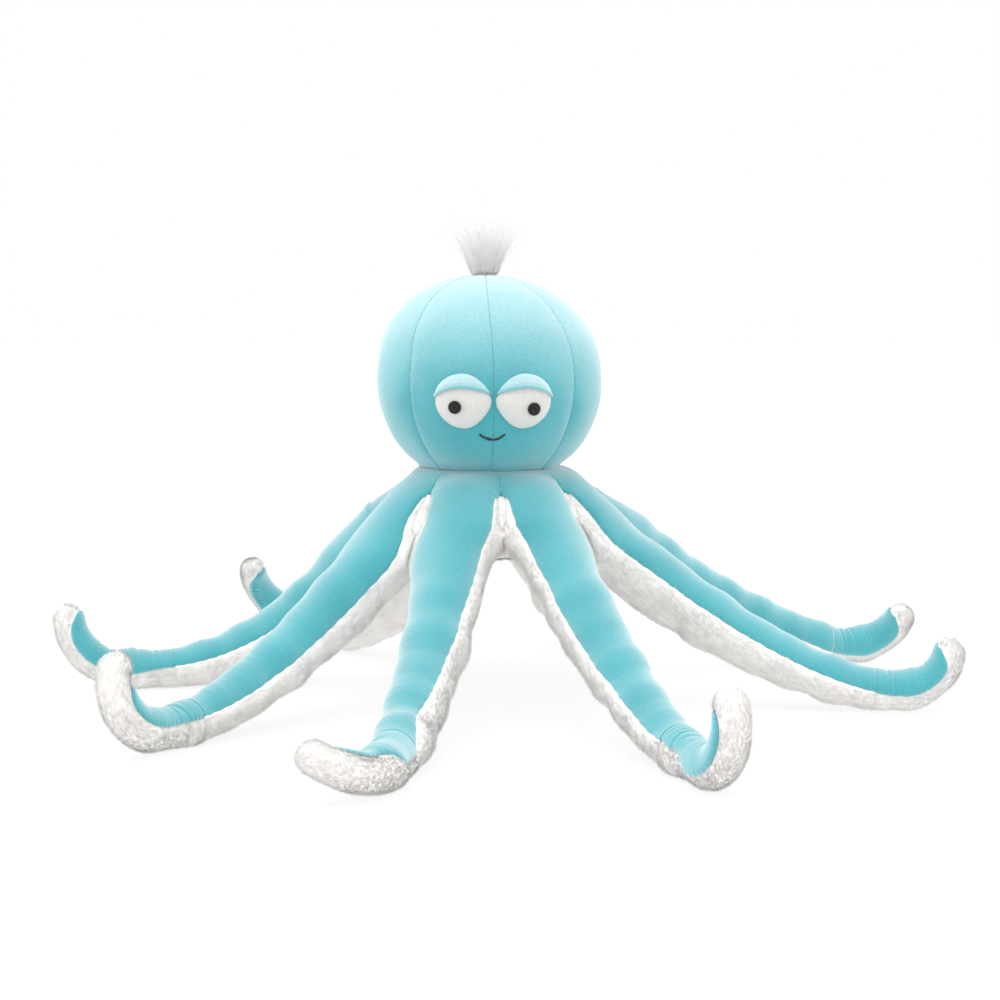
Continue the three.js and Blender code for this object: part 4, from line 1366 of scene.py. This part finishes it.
tipTrim = {"left_back": 6 * mm, "back_left": 3 * mm}  # how much shorter than their drawing
tipForm = {
    "rowPitch": 0.8 * mm,
    "underCut": 1.6 * mm,  # how far its first ring reaches in under the arm's cloth
    "roundEnd": 7 * mm,
    "growFrom": -5 * mm,
    "growOver": 28 * mm,
    "foldDip": (0.8 * mm, 4 * mm),  # depth and width of the fur's dip at the fold
    "underVelour": 1.2 * mm,
    "velourRoom": 1.6 * mm,
    "fillOver": 40 * mm,
    "pileShares": (0.85, 0.55),  # of the pile's length, on the fur's side and beside the velour
    "taperRise": math.radians(84),  # the velour narrows to its end
    "steepest": math.radians(88),
    "taperDepth": 0.5 * mm,
    "edgeDepth": 1.7 * mm,
    "settleOver": 10 * mm,  # over which it comes up to the tip's own surface
    "tucked": 0.35 * mm,  # below the arm's velour, at the split
    "tuckedUntil": 0.2 * mm,
    "stitch": (2.8 * mm, 1.7 * mm, 0.6 * mm),
    "stitchLift": 0.2 * mm,
    "stitchEnds": (-6 * mm, 9 * mm),
}


def tipStations(limb):
    # Sections from the split, over the fold, to the tip's end, then over its round end at growing bends.
    length = armLength(limb)
    before = np.linspace(1 - (tentacles["splitBack"] + tipForm["underCut"]) / length, 1, 20, endpoint=False)
    whole = 1 - tipTrim.get(limb.name, 0) / tipLength(limb)
    after = np.linspace(0, whole, int(tipLength(limb) / tipForm["rowPitch"]))
    bends = np.radians([*range(6, 84, 7), 88])
    both = [np.concatenate([*pair, np.repeat(pair[1][-1:], len(bends), 0)])
            for pair in zip(armFrames(limb, before), tipFrames(limb, after))]
    fromFold = np.concatenate([(before - 1) * length, after * tipLength(limb)])
    fromFold = np.concatenate([fromFold, tipLength(limb) * whole + both[4][-1] * np.sin(bends)])
    return both, fromFold, np.concatenate([np.zeros(len(before) + len(after)), bends])


def tipRings(frames, bends, angles, offset):
    centre, along, side, top, radius = frames
    size = radius[:, None] + offset
    level = size * np.cos(bends)[:, None]
    ahead = (size * 1.08 * np.sin(bends)[:, None])[..., None] * along[:, None]
    return (centre[:, None] + ahead + side[:, None] * (level * np.cos(angles))[..., None]
            + top[:, None] * (level * np.sin(angles))[..., None])


tipGrowth = {  # how much fuller a tip is than its drawing, on its inner and its outer side, in mm
    "front_left": (0.5, 0.3), "front_right": (0.5, 0.8), "right_front": (2.5, -0.5), "right_back": (2.0, 0.3),
    "back_right": (0.3, 0.3), "back_left": (1.2, -0.6), "left_back": (2.0, 0.0), "left_front": (2.5, -0.8),
}
stripEnds = {"left_front": 0.80, "front_left": 0.9, "front_right": 0.93}  # where the velour of a tip ends


gathered = ("right_front", "right_back", "back_left")  # their far seam shows, drawn in by its thread
gather = {"depth": 1.3 * mm, "width": 0.03, "ruffle": 0.45 * mm, "pitch": 0.62 * mm, "waver": 4 * mm,
          "from": -9 * mm, "until": 5 * mm, "over": 8 * mm}
gatherColumn = len(velourColumns) - 8


def gatherGroove(limb, fromFold, end):
    # The seam line along a tip, with the cloth ruffled on both sides of it.
    if limb.name not in gathered:
        return 0.0
    across = velourColumns - velourColumns[gatherColumn]
    along = ease((fromFold - gather["from"]) / gather["over"])
    along = along * ease((end - gather["until"] - fromFold) / gather["over"])
    phase = fromFold / gather["pitch"] + 2 * np.sin(fromFold / gather["waver"])
    ruffles = gather["ruffle"] * np.sin(phase)[:, None] * hump(np.abs(across) - 0.05, 0.05)
    return along[:, None] * (gather["depth"] * hump(across, gather["width"]) + ruffles)


def describeTip(limb):
    frames, fromFold, bends = tipStations(limb)
    whole = tipLength(limb) - tipTrim.get(limb.name, 0) + tipForm["roundEnd"]
    share = np.clip(fromFold / whole, 0, 1)
    end = stripEnds.get(limb.name, 1.0)
    taper = np.clip((share / end - 0.70) / 0.3, 0, 1)
    rise = tentacles["seamRise"] + tipForm["taperRise"] * (1 - np.sqrt(1 - taper**2))
    return SimpleNamespace(frames=frames, fromFold=fromFold, bends=bends, share=share, end=end, taper=taper,
                           velourEnd=whole * end, rise=np.minimum(rise, tipForm["steepest"]),
                           turned=tipTurn(limb, fromFold))


def tipSwell(limb, tip, angles, rows=slice(None)):
    # How much fuller a tip is than its CAD section.
    inner, outer = tipGrowth[limb.name]
    fromFold = tip.fromFold[rows]
    growth = mix(outer, inner, ease(0.5 + 0.5 * np.sin(angles))) * mm
    growth = growth * ease((fromFold - tipForm["growFrom"]) / tipForm["growOver"])[:, None]
    calm = 1 - ease((tip.share[rows] - 0.3) / 0.5)
    return lumps(limb, armLength(limb) + fromFold)[:, None] * calm[:, None] + growth


def makeTipFur(limb, tip):
    turn = np.linspace(0, 2 * math.pi, furColumns + 1)
    angles = np.broadcast_to(turn, (len(tip.fromFold), len(turn)))
    local = angles - tip.turned[:, None]
    topSide = np.clip(np.sin(local), 0, 1)
    swell = tipSwell(limb, tip, angles)
    dipDepth, dipWidth = tipForm["foldDip"]
    offset = swell - tentacles["pileDepth"] - dipDepth * hump(tip.fromFold, dipWidth)[:, None] * (1 - topSide)
    offset = offset + foldWaves(limb, tip.fromFold, angles) * 0.8
    offset = offset - tipForm["underVelour"] * topSide * (tip.share < 0.9)[:, None]
    offset = offset + sideFill(limb, 1 - 0.5 * ease(tip.fromFold / tipForm["fillOver"]), angles)
    offset = np.where(np.sin(local) > 0, np.minimum(offset, swell - tipForm["velourRoom"]), offset)
    grid = tipRings(tip.frames, tip.bends, angles, offset)

    middle = ((turn[:-1] + turn[1:]) / 2)[None, :] - tip.turned[:, None]
    above = np.arcsin(np.clip(np.sin(middle), -1, 1))
    covered = (above > (tip.rise + math.radians(5))[:, None]) & (tip.share < 0.98 * tip.end)[:, None]
    part = np.where(np.cos(local) > 0, -1, 1) * np.clip(np.sin(local) + 0.45, 0, 1) * 0.9
    lengths = mix(*tipForm["pileShares"], topSide * (tip.share < 0.95 * tip.end)[:, None])
    pile = pileOn(grid, ringNormals(grid), np.where(covered, 0.0, 1.0)[:-1], lengths, part)
    piece = makePiece(limb.name + "_tip_fur", onFloor([closedTube(grid[:, :-1]), pile]), fur)
    bendTip(piece, limb)
    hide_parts(limb.name + "_tip_under")


def makeTipVelour(limb, tip):
    shown = (tip.share < 0.985 * tip.end) & (tip.bends < math.radians(55))
    fromFold = tip.fromFold[shown]
    angles = velourAngles(tip.rise[shown], tip.turned[shown])
    offset = foldWaves(limb, fromFold, angles) + tipSwell(limb, tip, angles, shown)
    offset = offset - tipForm["taperDepth"] * tip.taper[shown][:, None]
    offset = offset - tentacles["velourDepth"] * (1 - ease(fromFold / tipForm["settleOver"] + 1))[:, None]
    first = fromFold < tipForm["tuckedUntil"] - tentacles["splitBack"]
    offset = offset - tipForm["tucked"] * first[:, None]
    offset = offset - gatherGroove(limb, fromFold, tip.velourEnd)
    strip = tipRings([value[shown] for value in tip.frames], tip.bends[shown], angles, offset)
    strip = turnEdges(strip, tipForm["edgeDepth"])
    piece = makePiece(limb.name + "_tip_velour", [shell(strip, tentacles["cloth"])], velour)
    bendTip(piece, limb)
    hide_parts(limb.name + "_tip_top")
    if limb.name in gathered:
        first, last = tipForm["stitchEnds"]
        inside = (fromFold > first) & (fromFold < tip.velourEnd - last)
        line = strip[inside, gatherColumn] + gridNormals(strip)[inside, gatherColumn] * tipForm["stitchLift"]
        stitches = stitchesAlong(line, *tipForm["stitch"])
        piece = makePiece(limb.name + "_tip_stitches", [stitches], seamThread)
        bendTip(piece, limb)


def makeArm(limb):
    plain, crotchRow, rootRows, rises = velourGrid(limb)
    depths = mix(*cover["edgeDepths"], ease((np.arange(len(plain)) - crotchRow - 0.5) / 2))
    panel = turnEdges(crotchCreases(notched(plain, crotchRow, rootRows), crotchRow), depths[:, None])
    topPiece = makePiece(limb.name + "_top_panel", [shell(panel[1:], tentacles["cloth"])], velour)
    bendAt(topPiece, limb)
    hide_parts(limb.name + "_arm_top")

    under = furGrid(limb, plain[crotchRow:], rootRows, rises)
    pile = pileOn(under, ringNormals(under), *furFields(under, rootRows))
    piece = makePiece(limb.name + "_under_panel", onFloor([closedTube(under[:, :-1]), pile]), fur)
    bendAt(piece, limb)
    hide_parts(limb.name + "_arm_under", limb.name + "_arm_stuffing")
    return plain, panel, crotchRow


cover = {  # the inner ends of the top panels
    "edgeDepths": (0.06 * mm, 1.5 * mm),  # of their seams, and of the velour's edges below the crotches
    "liningDepth": 1.35 * mm,
    "lining": 0.8 * mm,
    "stitch": (2.6 * mm, 1.5 * mm, 0.4 * mm),
}


coverParts, coverStitches = [], []
for limb in limbs:
    plain, panel, crotchRow = makeArm(limb)
    tip = describeTip(limb)
    makeTipFur(limb, tip)
    makeTipVelour(limb, tip)
    lining = (plain - gridNormals(plain) * cover["liningDepth"])[:crotchRow + 2]
    coverParts.append(shell(lining, cover["lining"]))
    coverStitches.append(stitchesAlong(panel[3:crotchRow + 1, 1], *cover["stitch"]))
print("tentacles ready")


# The body: the inner ends of the top panels, the filling under them and the furry base

body = {
    "seam": (52.3 * mm, -0.6 * mm),  # radius and height of the neck's stitches, from the hinge
    "stitch": (2.9 * mm, 1.9 * mm, 0.6 * mm),
    "fillRadii": np.array([20, 36, 47, 50, 50, 46, 40, 20]) * mm,
    "fillHeights": np.array([106, 107, 111, 122, 140, 156, 163, 165]) * mm,
    "baseRadius": 60 * mm,
    "baseHeight": 104 * mm,
    "baseRise": 16 * mm,  # how much higher its edge is than its middle
    "basePad": 3 * mm,
}


def makeBody():
    piece = makePiece("body_cover_cloth", coverParts, velour)
    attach(piece, "body")
    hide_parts("body_cover")
    radius, height = body["seam"]
    ring = roundAxis(radius, np.linspace(0, 2 * math.pi, 161), neckHeight + height)
    stitches = [*coverStitches, stitchesAlong(ring, *body["stitch"])]
    piece = makePiece("neck_seam_stitches", stitches, seamThread)
    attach(piece, "body")

    turn = -np.linspace(0, 2 * math.pi, 64, endpoint=False)
    grid = roundAxis(body["fillRadii"][:, None], turn, body["fillHeights"][:, None])
    filling = makePiece("body_filling", [closedTube(grid)], fur)
    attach(filling, "body")
    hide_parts("body_stuffing")


def makeBase():
    # The furry panel underneath, and its strips in the crotches.
    share = np.linspace(0.03, 1, 22)[:, None]
    height = body["baseHeight"] + body["baseRise"] * share**2.6
    grid = roundAxis(share * body["baseRadius"], np.linspace(0, 2 * math.pi, 97), height)
    parts, piles = [], [pileOn(grid, -gridNormals(grid), 1.0)]
    for limb in limbs:
        web = webPatch(limb)
        parts.append(shell(web, webStrip["cloth"]))
        piles.append(pileOn(web, gridNormals(web), 1.0, webStrip["pileShare"]))
    points, faces = joined(piles)
    pad = grid[-1:, :-1] * [0.9, 0.9, 1] + up * body["basePad"]
    parts.append(closedTube(np.concatenate([grid[:, :-1], pad])[:, ::-1]))
    pile = (points, faces, np.concatenate([part[2] for part in piles]))
    base = makePiece("base_panel_fur", [*parts, pile], fur)
    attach(base, "body")
    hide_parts("base_panel")


makeBody()
makeBase()
print("body ready")

bpy.context.view_layer.update()
